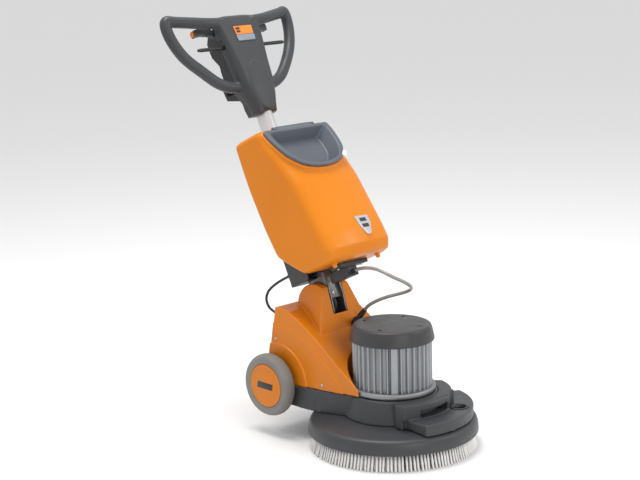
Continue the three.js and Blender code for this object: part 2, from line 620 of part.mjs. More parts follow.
// ---- solution tank, lid and valve (handle frame) ----
// Rings of the tank wall from foot to top: [height, front half width, front corner y, front middle y,
// rear half width, rear y].
const TANK_LEVELS = [
  [80, 100, -165, -176, 114, -82],
  [86, 110, -180, -191, 123, -74],
  [112, 115, -187, -201, 126, -45],
  [150, 116, -180, -197, 127, -4],
  [224, 117, -165, -182, 127, 8],
  [302, 117, -149, -164, 126, 16],
  [345, 119, -131, -150, 125, 20],
  [400, 124, -112, -131, 125, 20],
  [462, 124, -90, -106, 124, 20],
  [470, 121, -86, -98, 121, 17],
];

function tankHull(inset) {
  const points = [];
  for (const [v, frontHalf, frontY, middleY, rearHalf, rearY] of TANK_LEVELS) {
    const z = v < 100 ? v + inset : (v > 460 ? v - inset : v);
    points.push([frontHalf - inset, frontY + 16 + inset, z], [frontHalf - 11 - inset, frontY + 1 + inset, z],
      [0.55 * frontHalf, middleY + 4 + inset, z],
      [0.2 * frontHalf, middleY + inset, z], [rearHalf - inset, rearY - inset - 8, z],
      [rearHalf - inset - 8, rearY - inset, z], [rearHalf - inset, (frontY + rearY) / 2, z]);
  }
  return hull(mirrored(points));
}

const LID_REAR = [-97, 465];
const LID_HINGE = [-88.5, 467.6];
const LID_SLOPE = Math.atan2(75, 136);
const LID_THICKNESS = 8.6;
const LID_HALF_OUTLINE = [[115, 0], [114, 38], [106, 76], [99, 97], [71, 132], [35, 145]];
const LID_OUTLINE = [...LID_HALF_OUTLINE.map(([x, y]) => [-x, y]), [0, 149],
  ...LID_HALF_OUTLINE.slice().reverse()];

// The lid frame lies on the slope: x across, y down the slope, z out of the lid.
function onSlope(body) {
  const frame = new THREE.Matrix4().makeBasis(new THREE.Vector3(1, 0, 0),
    new THREE.Vector3(0, -Math.sin(LID_SLOPE), -Math.cos(LID_SLOPE)),
    new THREE.Vector3(0, -Math.cos(LID_SLOPE), Math.sin(LID_SLOPE)));
  frame.setPosition(0, ...LID_REAR);
  const geometry = geometryOf(body);
  geometry.applyMatrix4(frame);
  return solid(geometry);
}

function scaled(outline, factor, dy) {
  return outline.map(([x, y]) => [x * factor, (y - 68) * factor + 68 + dy]);
}

function lidSeat() {
  const seat = prismZ([[-126, -10], ...LID_OUTLINE.map(([x, y]) => [1.03 * x, y > 0 ? y + 2 : y]),
    [126, -10]], -LID_THICKNESS - 0.4, 120);
  const hingePocket = block(-62, 62, -14, 5, -14, 10);
  return onSlope(joined(seat, hingePocket));
}

function buildTank() {
  const collar = onSlope(prismZ(LID_OUTLINE.map(([x, y]) => [1.03 * x, y > 0 ? 1.03 * y : 4]), -40, -9));
  const outer = joined(tankHull(0), collar);
  const channel = joined(block(-TUBE_RADIUS - 3, TUBE_RADIUS + 3, 0, 60, 60, 600),
    rod(TUBE_RADIUS + 3, 60, 600, 0, 0, 20), block(-34, 34, -34, 60, 60, 152));
  const inner = cut(tankHull(5), joined(block(-TUBE_RADIUS - 8, TUBE_RADIUS + 8, 0, 60, 60, 600),
    rod(TUBE_RADIUS + 8, 60, 600, 0, 0, 20), block(-39, 39, -39, 60, 60, 157)));
  const mouth = onSlope(prismZ(scaled(LID_OUTLINE, 0.86, 2), -60, 20));
  const pegs = [-79, 79].map((x) => turned([[0, 69], [6, 69], [6.5, 84], [0, 84]], 12, x, -154));
  const hingeHole = rodX(3 + GAP, -71, 71, ...LID_HINGE, 12);
  const lugs = joined(rodX(6, -73, -62.5, ...LID_HINGE, 16), rodX(6, 62.5, 73, ...LID_HINGE, 16));
  const tank = cut(outer, lidSeat(), inner, mouth, channel, rod(9, 60, 100, 0, -122, 16));
  place(handle, 'solution_tank', joined(cut(joined(tank, lugs), hingeHole), ...pegs), 'orangePlastic');
}

function buildLid() {
  const plate = prismZ(LID_OUTLINE, -LID_THICKNESS, 0);
  const tray = hull([...scaled(LID_OUTLINE, 0.64, 1).map(([x, y]) => [x, y, -31]),
    ...scaled(LID_OUTLINE, 0.8, 1).map(([x, y]) => [x, y, 0.5])]);
  const outerBasin = hull([...scaled(LID_OUTLINE, 0.68, 1).map(([x, y]) => [x, y, -34]),
    ...scaled(LID_OUTLINE, 0.84, 1).map(([x, y]) => [x, y, -2])]);
  const knuckle = block(-60, 60, -11, 1, -11, -1.5);
  const lid = onSlope(cut(joined(plate, outerBasin, knuckle), tray));
  place(handle, 'tank_lid', cut(lid, rodX(3 + GAP, -71, 71, ...LID_HINGE, 12)), 'lidPlastic');
  place(handle, 'hinge_rod', rodX(3, -70, 70, ...LID_HINGE, 12), 'steel');
}

function buildValve() {
  const plate = block(-50, 50, -142, -104, 68, 79.4);
  const body = block(-26, 10, -136, -66, 42, 69);
  const stub = rod(6, -2, 12).rotate([90, 0, 0]).translate([-8, -136, 52]);
  const neck = rod(8.6, 78, 82, 0, -122, 16);
  place(handle, 'solution_valve', joined(plate, body, stub, neck), 'blackPlastic');
}

// ---- handle head (handle frame) ----
const HEAD_WIDTHS = [[532, 34], [548, 38], [585, 50], [622, 58], [680, 62], [721, 67], [770, 72],
  [800, 75], [811, 68], [817, 30]];

function headOutline(inset) {
  const right = HEAD_WIDTHS.map(([v, half]) => [half - inset, v]);
  const left = right.map(([x, v]) => [-x, v]).reverse();
  return [...right, ...left];
}

const LOOP = [[46, 4, 618], [78, 8, 622], [114, 11, 640], [151, 14, 676], [186, 20, 718], [206, 22, 760],
  [214, 22, 799], [209, 20, 823], [184, 14, 818], [141, 4, 809], [100, -4, 801], [50, -8, 796]];

function buildHead() {
  const sideProfile = [[8, 534], [-24, 534], [-28, 560], [-30, 640], [-26, 730], [-23, 784], [-14, 811],
    [-4, 818], [8, 818]];
  const front = prismX(sideProfile, -90, 90).intersect(prismY(headOutline(0), -60, 60));
  const cavity = prismY(headOutline(4), -14, 20).intersect(block(-90, 90, -14, 20, 604, 806));
  const collar = prismY([[32, 537], [37, 560], [38, 584], [-38, 584], [-37, 560], [-32, 537]], 7, 31);
  const tubeBore = rod(TUBE_RADIUS + GAP, 500, TUBE_TOP + 6, 0, 0, 20);
  const loops = [1, -1].map((sign) => solid(bar(LOOP.map(([x, y, v]) => [sign * x, y, v]), GRIP_RADIUS,
    8, 24)));
  const leverSlot = block(-90, 90, -8, 30, 722, 752);
  const pinHoles = [-TRIGGER_PIN[0], TRIGGER_PIN[0]].map((x) => rod(3 + GAP, -18.5, 30, 0, 0, 12)
    .rotate([-90, 0, 0]).translate([x, 0, TRIGGER_PIN[1]]));
  const trimRear = block(-74, 74, 8, 60, 500, 850);
  const grips = cut(joined(...loops), block(-48, 48, -60, 60, 500, 850));
  place(handle, 'handle_head', joined(cut(joined(front, collar), cavity, tubeBore, leverSlot, ...pinHoles),
    cut(grips, trimRear)),
    'greyPlastic');
}

function buildRearCase() {
  const profile = [[8.3, 625], [50, 625], [60, 650], [58, 700], [76, 730], [78, 768], [62, 792],
    [8.3, 806]];
  const outer = prismX(profile, -48, 48);
  const room = prismX(profile.map(([y, v]) => [y > 9 ? y - 4 : 0, v < 700 ? v + 5 : v - 5]), -44, 44);
  const leverSlot = block(-60, 60, 0, 12, 722, 752);
  const shaftHole = rodX(4 + GAP, -47.5, 47.5, ...LEVER_HINGE, 12);
  place(handle, 'head_rear_cover', cut(outer, room, leverSlot, shaftHole), 'blackPlastic');
  place(handle, 'switch_box', block(-30, 30, 28, 46, 640, 690), 'blackPlastic');
  const hook = [[8.3, 586], [30, 586], [94, 610], [100, 648], [90, 648], [84, 620], [40, 614], [8.3, 614]];
  const saddle = cut(prismX(hook, -28, 28), rod(TUBE_RADIUS + GAP, 500, 700, 0, 0, 20));
  place(handle, 'cable_hook', saddle, 'blackPlastic');
}

const LEVER_HINGE = [34, 716];

function buildLever() {
  const cross = rodX(5, -152, 152, 0, 730, 16);
  const arms = [-40, 40].map((x) => prismX([[-3, 726], [4, 726], [32, 711], [38, 716], [32, 721], [4, 734],
    [-3, 734]], x - 3, x + 3));
  const shaft = rodX(4, -47, 47, ...LEVER_HINGE, 12);
  const fork = [-7, 4].map((x) => prismX([[3, ROD_COLLAR_FOOT - 5], [10, ROD_COLLAR_FOOT - 7], [38, 714],
    [33, 719], [9.5, ROD_COLLAR_FOOT - 1], [3, ROD_COLLAR_FOOT - 1]], x, x + 3));
  place(handle, 'tilt_lever', joined(cross, ...arms, shaft, ...fork), 'blackPlastic');
}

const TRIGGER = { inner: 52, outer: 129, front: 20, rear: 35 };
const TRIGGER_PIN = [60, 770];

function buildTriggers() {
  for (const [side, sign] of [['left', -1], ['right', 1]]) {
    const outline = [[TRIGGER.inner, 764], [TRIGGER.inner, 779], [76, 797], [96, 800], [TRIGGER.outer, 794],
      [TRIGGER.outer, 775], [104, 779], [76, 776]].map(([x, v]) => [sign * x, v]);
    const pin = rod(3, -18, 22, 0, 0, 12).rotate([-90, 0, 0]).translate([sign * TRIGGER_PIN[0], 0,
      TRIGGER_PIN[1]]);
    const body = joined(prismY(outline, TRIGGER.front, TRIGGER.rear), pin);
    if (side === 'left') {
      const pocket = block(-TRIGGER.outer - 1, -TRIGGER.outer + 9, 22, 33, 777, 792);
      place(handle, 'trigger_left', cut(body, pocket), 'greyPlastic');
      place(handle, 'safety_button', block(-TRIGGER.outer - 5, -TRIGGER.outer + 4.5, 22.3, 32.7, 777.3,
        791.7), 'orangePlastic');
    } else {
      place(handle, 'trigger_right', body, 'greyPlastic');
    }
  }
}

// ---- hose and cable (machine frame) ----
const HOSE_ROUTE = [[-8, 115.5, 442.8], [-8, 105, 447.5], [-8, 78, 454], [-8, 46, 456], [-7, 17, 451],
  [1, -7, 441], [20, -22, 429], [46, -22, 413], [66, -7, 398], [73, 17, 386], [67, 41, 377],
  [56, 64, 369], [44, 88, 358], [37.5, 109, 345.5], [36, 121, 336], [36, 128.2, 328.4]];
const CABLE_ROUTE = [[-48, 327, 401], [-50, 342, 393], [-55, 369, 376], [-60, 393, 354], [-62, 401, 331],
  [-62, 391, 310], [-61, 366, 298], [-60, 346, 293.2], [-60, 337.3, 291.8]];

function buildCords() {
  place(chassis, 'water_hose', bar(HOSE_ROUTE, HOSE_RADIUS, 8, 24), 'hose');
  place(chassis, 'power_cable', bar(CABLE_ROUTE, CABLE_RADIUS, 8, 16), 'blackPlastic');
}

buildGears();
buildBrush();
buildDeck();
buildMotor();
buildRotor();
buildShell();
buildPivot();
buildFittings();
buildWheels();
buildNeck();
buildLock();
buildBracketBox();
buildTank();
buildLid();
buildValve();
buildHead();
buildRearCase();
buildLever();
buildTriggers();
buildCords();

// The part's origin is at the middle of its footprint, on the floor.
machine.updateMatrixWorld(true);
const extent = new THREE.Box3().setFromObject(machine, true);
machine.position.set(-(extent.min.x + extent.max.x) / 2, -(extent.min.y + extent.max.y) / 2, -extent.min.z);

const part = new THREE.Group();
part.add(machine);

export default part;
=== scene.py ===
# Rotary floor machine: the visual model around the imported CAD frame.
# Shapes are worked out in millimetres in two local frames, then carried to the row frame in metres:
# MACHINE has its origin on the floor under the brush spindle, HANDLE at the tilt pivot along the tube.

import json
import math
import random

import bmesh
import bpy
from mathutils import Matrix, Vector


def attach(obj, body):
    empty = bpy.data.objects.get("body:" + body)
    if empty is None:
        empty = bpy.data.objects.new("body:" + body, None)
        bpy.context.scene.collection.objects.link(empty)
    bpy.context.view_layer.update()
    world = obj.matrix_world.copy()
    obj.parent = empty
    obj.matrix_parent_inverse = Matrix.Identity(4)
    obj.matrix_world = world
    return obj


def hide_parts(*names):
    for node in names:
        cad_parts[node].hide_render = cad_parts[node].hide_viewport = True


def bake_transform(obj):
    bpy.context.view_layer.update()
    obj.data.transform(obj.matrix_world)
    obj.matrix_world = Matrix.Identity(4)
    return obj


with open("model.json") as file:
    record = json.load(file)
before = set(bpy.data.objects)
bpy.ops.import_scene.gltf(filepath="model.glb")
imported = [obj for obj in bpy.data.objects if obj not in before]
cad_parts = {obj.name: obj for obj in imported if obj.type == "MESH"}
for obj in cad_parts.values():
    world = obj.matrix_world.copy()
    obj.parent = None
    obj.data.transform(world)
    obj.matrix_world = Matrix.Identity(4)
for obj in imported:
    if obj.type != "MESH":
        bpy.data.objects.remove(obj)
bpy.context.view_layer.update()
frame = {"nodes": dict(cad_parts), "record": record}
random.seed(7)

MM = 0.001
SHIFT_Y = -202.631
PIVOT = Vector((0, 228, 333))
LEAN = math.radians(25)
MACHINE = Matrix.Translation(Vector((0, SHIFT_Y, 0)) * MM) @ Matrix.Scale(MM, 4)
HANDLE = (Matrix.Translation((PIVOT + Vector((0, SHIFT_Y, 0))) * MM) @ Matrix.Rotation(-LEAN, 4, "X")
          @ Matrix.Scale(MM, 4))
AXLE = (297, 135)
TUBE_RADIUS = 23
TUBE_BORE = TUBE_RADIUS + 0.3
PIN_HOLE = 8.3
BEVEL_ANGLE = math.radians(35)
scene = bpy.context.scene
scene.view_settings.view_transform = "Standard"


# ---- camera, floor and light ----
CAMERA_ANGLES = (44.098, 11.931, -1.42)
CAMERA_TARGET = (-245.5, SHIFT_Y, 576.4)
CAMERA_DISTANCE = 3.828


def make_camera():
    azimuth, elevation, roll = (math.radians(v) for v in CAMERA_ANGLES)
    back = Vector((-math.sin(azimuth) * math.cos(elevation), -math.cos(azimuth) * math.cos(elevation),
                   math.sin(elevation)))
    right = Vector((math.cos(azimuth), -math.sin(azimuth), 0))
    up = back.cross(right)
    x = right * math.cos(roll) + up * math.sin(roll)
    y = up * math.cos(roll) - right * math.sin(roll)
    target = Vector(CAMERA_TARGET) * MM
    camera = bpy.data.objects.new("camera", bpy.data.cameras.new("camera"))
    camera.data.lens = 90
    camera.data.sensor_width = 36
    camera.data.clip_end = 60
    turn = Matrix((x, y, back)).transposed().to_4x4()
    camera.matrix_world = Matrix.Translation(target + back * CAMERA_DISTANCE) @ turn
    scene.collection.objects.link(camera)
    scene.camera = camera


LIGHT_AIM = Vector((0, 0, 0.5))


def area_light(name, at, size, power):
    lamp = bpy.data.lights.new(name, "AREA")
    lamp.size = size
    lamp.energy = power
    holder = bpy.data.objects.new(name, lamp)
    holder.location = at
    holder.rotation_euler = (LIGHT_AIM - Vector(at)).to_track_quat("-Z", "Y").to_euler()
    scene.collection.objects.link(holder)


def make_studio():
    bpy.ops.mesh.primitive_plane_add(size=40, location=(0, 0, 0))
    floor = bpy.context.object
    floor.name = "floor"
    surface = bpy.data.materials.new("floor_white")
    surface.use_nodes = True
    shader = surface.node_tree.nodes["Principled BSDF"]
    shader.inputs["Base Color"].default_value = (0.86, 0.86, 0.86, 1)
    shader.inputs["Roughness"].default_value = 0.7
    floor.data.materials.append(surface)
    world = bpy.data.worlds.new("studio")
    world.use_nodes = True
    world.node_tree.nodes["Background"].inputs[0].default_value = (1, 1, 1, 1)
    world.node_tree.nodes["Background"].inputs[1].default_value = 0.8
    scene.world = world
    area_light("key", (2.2, -3.0, 2.6), 1.1, 30)
    area_light("left", (-1.2, -3.4, 1.3), 0.8, 22)
    area_light("top", (-0.2, 0.4, 3.6), 1.6, 85)


# ---- materials ----
def noise_at(tree, coords, scale, detail, stretch=None):
    texture = tree.nodes.new("ShaderNodeTexNoise")
    texture.inputs["Scale"].default_value = scale
    texture.inputs["Detail"].default_value = detail
    source = coords
    if stretch:
        mapping = tree.nodes.new("ShaderNodeMapping")
        mapping.inputs["Scale"].default_value = stretch
        tree.links.new(coords, mapping.inputs["Vector"])
        source = mapping.outputs["Vector"]
    tree.links.new(source, texture.inputs["Vector"])
    return texture.outputs["Fac"]


GLOSS_SPREAD = 0.12
RELIEF_DEPTH = 0.0004


def material(name, colour, rough, metallic=0.0, *, grain, bump, mottle=0.1, wear=0.25, stretch=None,
             coat=0.0, subsurface=0.0, patch=7, specular=0.5):
    """A mottled surface: wide patches, fine grain in relief, uneven gloss and paler worn edges."""
    made = bpy.data.materials.new(name)
    made.use_nodes = True
    tree = made.node_tree
    shader = tree.nodes["Principled BSDF"]
    shader.inputs["Metallic"].default_value = metallic
    shader.inputs["Coat Weight"].default_value = coat
    shader.inputs["Specular IOR Level"].default_value = specular
    shader.inputs["Coat Roughness"].default_value = 0.15
    if subsurface:
        shader.inputs["Subsurface Weight"].default_value = subsurface
        shader.inputs["Subsurface Scale"].default_value = 0.004
    coords = tree.nodes.new("ShaderNodeTexCoord").outputs["Object"]
    wide = noise_at(tree, coords, patch, 4)
    fine = noise_at(tree, coords, grain, 2, stretch)
    shade = tree.nodes.new("ShaderNodeMapRange")
    shade.inputs["From Min"].default_value = 0.3
    shade.inputs["From Max"].default_value = 0.7
    shade.inputs["To Min"].default_value = 1 - mottle
    shade.inputs["To Max"].default_value = 1 + mottle
    tree.links.new(wide, shade.inputs["Value"])
    tone = tree.nodes.new("ShaderNodeMix")
    tone.data_type = "RGBA"
    tone.blend_type = "MULTIPLY"
    tone.inputs["Factor"].default_value = 1
    tone.inputs["A"].default_value = (*colour, 1)
    tree.links.new(shade.outputs["Result"], tone.inputs["B"])
    edge = tree.nodes.new("ShaderNodeNewGeometry").outputs["Pointiness"]
    lift = tree.nodes.new("ShaderNodeMapRange")
    lift.inputs["From Min"].default_value = 0.51
    lift.inputs["From Max"].default_value = 0.6
    lift.inputs["To Min"].default_value = 0
    lift.inputs["To Max"].default_value = wear
    tree.links.new(edge, lift.inputs["Value"])
    worn = tree.nodes.new("ShaderNodeMix")
    worn.data_type = "RGBA"
    worn.inputs["B"].default_value = (*[min(1, c * 1.5 + 0.06) for c in colour], 1)
    tree.links.new(lift.outputs["Result"], worn.inputs["Factor"])
    tree.links.new(tone.outputs["Result"], worn.inputs["A"])
    tree.links.new(worn.outputs["Result"], shader.inputs["Base Color"])
    gloss = tree.nodes.new("ShaderNodeMapRange")
    gloss.inputs["From Min"].default_value = 0.25
    gloss.inputs["From Max"].default_value = 0.75
    gloss.inputs["To Min"].default_value = rough - GLOSS_SPREAD / 2
    gloss.inputs["To Max"].default_value = rough + GLOSS_SPREAD / 2
    tree.links.new(noise_at(tree, coords, 40, 5), gloss.inputs["Value"])
    tree.links.new(gloss.outputs["Result"], shader.inputs["Roughness"])
    relief = tree.nodes.new("ShaderNodeBump")
    relief.inputs["Strength"].default_value = bump
    relief.inputs["Distance"].default_value = RELIEF_DEPTH
    tree.links.new(fine, relief.inputs["Height"])
    tree.links.new(relief.outputs["Normal"], shader.inputs["Normal"])
    return made


LOOKS = {
    "grey_plastic": material("grey_moulding", (0.043, 0.045, 0.049), 0.42, grain=1100, bump=0.35, wear=0.2,
                             specular=0.35),
    "cap_plastic": material("cap_moulding", (0.043, 0.043, 0.045), 0.4, grain=900, bump=0.3, wear=0.3,
                            specular=0.35),
    "lid_plastic": material("lid_moulding", (0.09, 0.1, 0.122), 0.38, grain=900, bump=0.25, wear=0.35,
                            specular=0.4),
    "orange_plastic": material("orange_moulding", (0.64, 0.19, 0.005), 0.34, grain=500, bump=0.12,
                               mottle=0.05, wear=0.3, patch=4, specular=0.28),
    "black_plastic": material("black_moulding", (0.013, 0.013, 0.014), 0.45, grain=1200, bump=0.3),
    "grey_rubber": material("tyre_rubber", (0.2, 0.193, 0.18), 0.7, grain=800, bump=0.4, mottle=0.14),
    "bristle": material("nylon_bristle", (0.68, 0.655, 0.635), 0.5, grain=300, bump=0.6, mottle=0.15,
                        stretch=(6, 6, 0.4), subsurface=0.05),
    "cast_aluminium": material("cast_aluminium", (0.28, 0.29, 0.3), 0.48, 0.75, grain=700, bump=0.5,
                               mottle=0.12),
    "bright_aluminium": material("polished_tube", (0.66, 0.66, 0.665), 0.3, 0.8, grain=900, bump=0.06,
                                 stretch=(3, 3, 0.1), mottle=0.03, wear=0.0),
    "steel": material("rolled_steel", (0.3, 0.31, 0.32), 0.4, 0.9, grain=600, bump=0.25),
    "zinc_steel": material("zinc_steel", (0.5, 0.51, 0.52), 0.33, 0.9, grain=300, bump=0.15, mottle=0.15,
                           patch=120),
    "gear_steel": material("oiled_gear_steel", (0.18, 0.185, 0.19), 0.3, 0.95, grain=700, bump=0.2,
                           coat=0.3),
    "brass": material("turned_brass", (0.55, 0.34, 0.1), 0.3, 0.95, grain=600, bump=0.15,
                      stretch=(1, 8, 8)),
    "winding": material("enamelled_winding", (0.42, 0.13, 0.04), 0.4, 0.6, grain=260, bump=0.9,
                        stretch=(1, 1, 6)),
    "hose_tube": material("clear_grey_hose", (0.25, 0.24, 0.215), 0.28, grain=260, bump=0.12, coat=0.2,
                          subsurface=0.1),
    "cable_jacket": material("cable_sheath", (0.011, 0.011, 0.012), 0.42, grain=500, bump=0.2),
}
# Painted light and shade: a copy of the orange plastic for the shell and hub caps, its colour set to the
# light falling there. It was first made darker as painted shade, then raised as painted light to offset the
# tank's shadow on the shell.
SHELL_ORANGE_PAINTED_LIGHT = material("orange_shell_painted_light", (0.62, 0.18, 0.006), 0.34, grain=500, bump=0.12,
                        mottle=0.06, wear=0.35, patch=5, specular=0.3)
NECK_STEEL = material("blackened_steel", (0.16, 0.155, 0.15), 0.36, 0.85, grain=500, bump=0.3, mottle=0.25,
                      wear=0.5, patch=60)
# Painted shade: near-black steel for the lock sector, pivot frame and pivot pin, which sit in the dark
# recess under the neck.
RECESS_SHADE_STEEL = material("recess_painted_shade_steel", (0.02, 0.02, 0.021), 0.5, 0.6, grain=500, bump=0.3)
PLATE_SILVER = material("badge_silver", (0.52, 0.52, 0.54), 0.32, 0.5, grain=900, bump=0.1, mottle=0.03)
LABEL_ORANGE = material("label_orange", (0.8, 0.2, 0.015), 0.35, grain=1500, bump=0.05, mottle=0.03)
LABEL_GREY = material("label_grey", (0.2, 0.23, 0.27), 0.35, grain=1500, bump=0.05, mottle=0.03)
CLEAR_TAB = material("pale_tab", (0.7, 0.72, 0.74), 0.25, grain=900, bump=0.1, coat=0.5)


# ---- mesh building, all in millimetres ----
def raw(name, points, faces):
    mesh = bpy.data.meshes.new(name)
    mesh.from_pydata([tuple(p) for p in points], [], faces)
    work = bmesh.new()
    work.from_mesh(mesh)
    bmesh.ops.recalc_face_normals(work, faces=work.faces)
    work.to_mesh(mesh)
    work.free()
    piece = bpy.data.objects.new(name, mesh)
    scene.collection.objects.link(piece)
    return piece


def settled(piece):
    """The piece with its modifiers made part of its mesh."""
    bpy.context.view_layer.update()
    graph = bpy.context.evaluated_depsgraph_get()
    mesh = bpy.data.meshes.new_from_object(piece.evaluated_get(graph))
    piece.modifiers.clear()
    piece.data = mesh
    return piece


def combined(body, operation, *tools):
    for tool in tools:
        step = body.modifiers.new("combine", "BOOLEAN")
        step.operation = operation
        step.solver = "MANIFOLD"
        step.object = tool
        settled(body)
        bpy.data.objects.remove(tool)
    return body


def joined(body, *tools):
    return combined(body, "UNION", *tools)


def cut(body, *tools):
    return combined(body, "DIFFERENCE", *tools)


def common(body, *tools):
    return combined(body, "INTERSECT", *tools)


def softened(body, voxel, rounds):
    """Moulded edges: the solid is remeshed finely and its edges relaxed."""
    remesh = body.modifiers.new("remesh", "REMESH")
    remesh.mode = "VOXEL"
    remesh.voxel_size = voxel
    relax = body.modifiers.new("relax", "SMOOTH")
    relax.factor = 0.5
    relax.iterations = rounds
    return settled(body)


def bevelled(body, width, segments):
    bevel = body.modifiers.new("bevel", "BEVEL")
    bevel.width = width
    bevel.segments = segments
    bevel.limit_method = "ANGLE"
    bevel.angle_limit = BEVEL_ANGLE
    return settled(body)


def shown(piece, place, body, slot, replaces=(), look=None, smooth_angle=40):
    piece.data.transform(place)
    for polygon in piece.data.polygons:
        polygon.use_smooth = True
    piece.data.set_sharp_from_angle(angle=math.radians(smooth_angle))
    piece.data.materials.clear()
    piece.data.materials.append(look or LOOKS[slot])
    if body:
        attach(piece, body)
    if replaces:
        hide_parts(*replaces)
    return piece


def filleted(points, radius, steps=5):
    """The outline with its corners rounded by arcs of about that radius, or one radius per corner."""
    count = len(points)
    out = []
    for i, point in enumerate(points):
        r = radius[i] if isinstance(radius, (list, tuple)) else radius
        here = Vector(point)
        if r <= 0:
            out.append(tuple(here))
            continue
        before = Vector(points[i - 1]) - here
        after = Vector(points[(i + 1) % count]) - here
        reach = min(r, before.length * 0.48, after.length * 0.48)
        a = here + before.normalized() * reach
        b = here + after.normalized() * reach
        for k in range(steps + 1):
            t = k / steps
            out.append(tuple(a * (1 - t) ** 2 + here * 2 * t * (1 - t) + b * t * t))
    return out


def swept(name, rings):
    """A closed skin over rings that have the same number of points."""
    size = len(rings[0])
    points = [p for ring in rings for p in ring]
    faces = []
    for i in range(len(rings) - 1):
        for k in range(size):
            n = (k + 1) % size
            faces.append((i * size + k, i * size + n, (i + 1) * size + n, (i + 1) * size + k))
    faces.append(tuple(range(size)))
    faces.append(tuple((len(rings) - 1) * size + k for k in range(size)))
    return raw(name, points, faces)


def turned(name, profile, steps, at=(0, 0), axis="Z"):
    """A body turned about Z at at=(x, y), or about X at at=(y, z), of [radius, height] points."""
    on_axis = profile[0][0] <= 1e-6
    columns = []
    for k in range(steps):
        angle = 2 * math.pi * k / steps
        c, s = math.cos(angle), math.sin(angle)
        if axis == "Z":
            columns.append([(at[0] + r * c, at[1] + r * s, h) for r, h in profile])
        else:
            columns.append([(h, at[0] + r * c, at[1] + r * s) for r, h in profile])
    points = [p for column in columns for p in column]
    size = len(profile)
    faces = []
    last = size - 1 if on_axis else size
    for k in range(steps):
        a, b = k * size, ((k + 1) % steps) * size
        for i in range(last):
            n = (i + 1) % size
            faces.append((a + i, a + n, b + n, b + i))
    piece = raw(name, points, faces)
    work = bmesh.new()
    work.from_mesh(piece.data)
    bmesh.ops.remove_doubles(work, verts=work.verts, dist=1e-4)
    bmesh.ops.recalc_face_normals(work, faces=work.faces)
    work.to_mesh(piece.data)
    work.free()
    return piece


def prism(name, outline, low, high, along="Z"):
    """The outline carried along Z, X or Y; its points are (x, y), (y, z) or (x, z)."""
    def put(p, h):
        if along == "Z":
            return (p[0], p[1], h)
        if along == "X":
            return (h, p[0], p[1])
        return (p[0], h, p[1])
    return swept(name, [[put(p, low) for p in outline], [put(p, high) for p in outline]])


def block(name, x0, x1, y0, y1, z0, z1):
    return prism(name, [(x0, y0), (x1, y0), (x1, y1), (x0, y1)], z0, z1)


def disc(name, radius, x0, x1, y, z, steps=72):
    return turned(name, [(0, x0), (radius, x0), (radius, x1), (0, x1)], steps, (y, z), "X")


def rod(name, radius, z0, z1, x=0, y=0, steps=48):
    return turned(name, [(0, z0), (radius, z0), (radius, z1), (0, z1)], steps, (x, y))


def hull(name, points):
    mesh = bpy.data.meshes.new(name)
    work = bmesh.new()
    for p in points:
        work.verts.new(p)
    made = bmesh.ops.convex_hull(work, input=work.verts)
    loose = [v for v in made["geom_interior"] if isinstance(v, bmesh.types.BMVert)]
    bmesh.ops.delete(work, geom=loose, context="VERTS")
    bmesh.ops.recalc_face_normals(work, faces=work.faces)
    work.to_mesh(mesh)
    work.free()
    piece = bpy.data.objects.new(name, mesh)
    scene.collection.objects.link(piece)
    return piece


def mirrored(points):
    return points + [(-x, y, z) for x, y, z in points]


def arc(cx, cy, radius, start, end, steps):
    angles = [math.radians(start + (end - start) * i / steps) for i in range(steps + 1)]
    return [(cx + radius * math.cos(a), cy + radius * math.sin(a)) for a in angles]


def curve_points(route, steps):
    """A smooth line through the route's points: uniform Catmull-Rom with mirrored ends."""
    pts = [Vector(p) for p in route]
    pts = [pts[0] * 2 - pts[1]] + pts + [pts[-1] * 2 - pts[-2]]
    out = []
    spans = len(pts) - 3
    for n in range(steps + 1):
        u = min(n / steps * spans, spans - 1e-9)
        i = int(u)
        t = u - i
        a, b, c, d = pts[i:i + 4]
        out.append(0.5 * (2 * b + (c - a) * t + (2 * a - 5 * b + 4 * c - d) * t * t
                          + (3 * b - a - 3 * c + d) * t ** 3))
    return out


def tube(name, line, radius, sides):
    """A round bar along a line of points; radius may be a function of the share along it."""
    tangents = []
    for i in range(len(line)):
        tangents.append((line[min(i + 1, len(line) - 1)] - line[max(i - 1, 0)]).normalized())
    side = tangents[0].orthogonal().normalized()
    rings = []
    for i, (point, tangent) in enumerate(zip(line, tangents)):
        side = (side - tangent * side.dot(tangent)).normalized()
        other = tangent.cross(side)
        r = radius(i / (len(line) - 1)) if callable(radius) else radius
        rings.append([point + side * r * math.cos(2 * math.pi * k / sides)
                      + other * r * math.sin(2 * math.pi * k / sides) for k in range(sides)])
    return swept(name, rings)


def moved(piece, matrix):
    piece.data.transform(matrix)
    if matrix.determinant() < 0:
        piece.data.flip_normals()
    return piece


def tipped(at, degrees, axis="X"):
    """A turn about an axis through the origin, then a move to at."""
    return Matrix.Translation(at) @ Matrix.Rotation(math.radians(degrees), 4, axis)


def screw(name, place, at, direction, body, radius=4.2):
    """A domed screw head with a round socket, standing a little proud of its seat."""
    profile = [(0, -1.5), (radius * 0.95, -1.5), (radius, 0.2), (radius * 0.9, 1.2), (radius * 0.7, 1.8),
               (radius * 0.5, 1.9), (radius * 0.45, 0.3), (0, 0.2)]
    head = turned(name, profile, 24)
    turn = Vector(direction).to_track_quat("Z", "Y").to_matrix().to_4x4()
    moved(head, Matrix.Translation(at) @ turn)
    return shown(head, place, body, "zinc_steel")


# ---- cords ----
HOSE_ROUTE = [(-8, 115.5, 442.8), (-8, 105, 447.5), (-8, 78, 454), (-8, 46, 456), (-7, 17, 451),
              (1, -7, 441), (20, -22, 429), (46, -22, 413), (66, -7, 398), (73, 17, 386), (67, 41, 377),
              (56, 64, 369), (44, 88, 358), (37.5, 109, 345.5), (36, 121, 336), (36, 128.2, 328.4)]
CABLE_ROUTE = [(-48, 327, 401), (-50, 342, 393), (-55, 369, 376), (-60, 393, 354), (-62, 401, 331),
               (-62, 391, 310), (-61, 366, 298), (-60, 346, 293.2), (-60, 337.3, 291.8)]


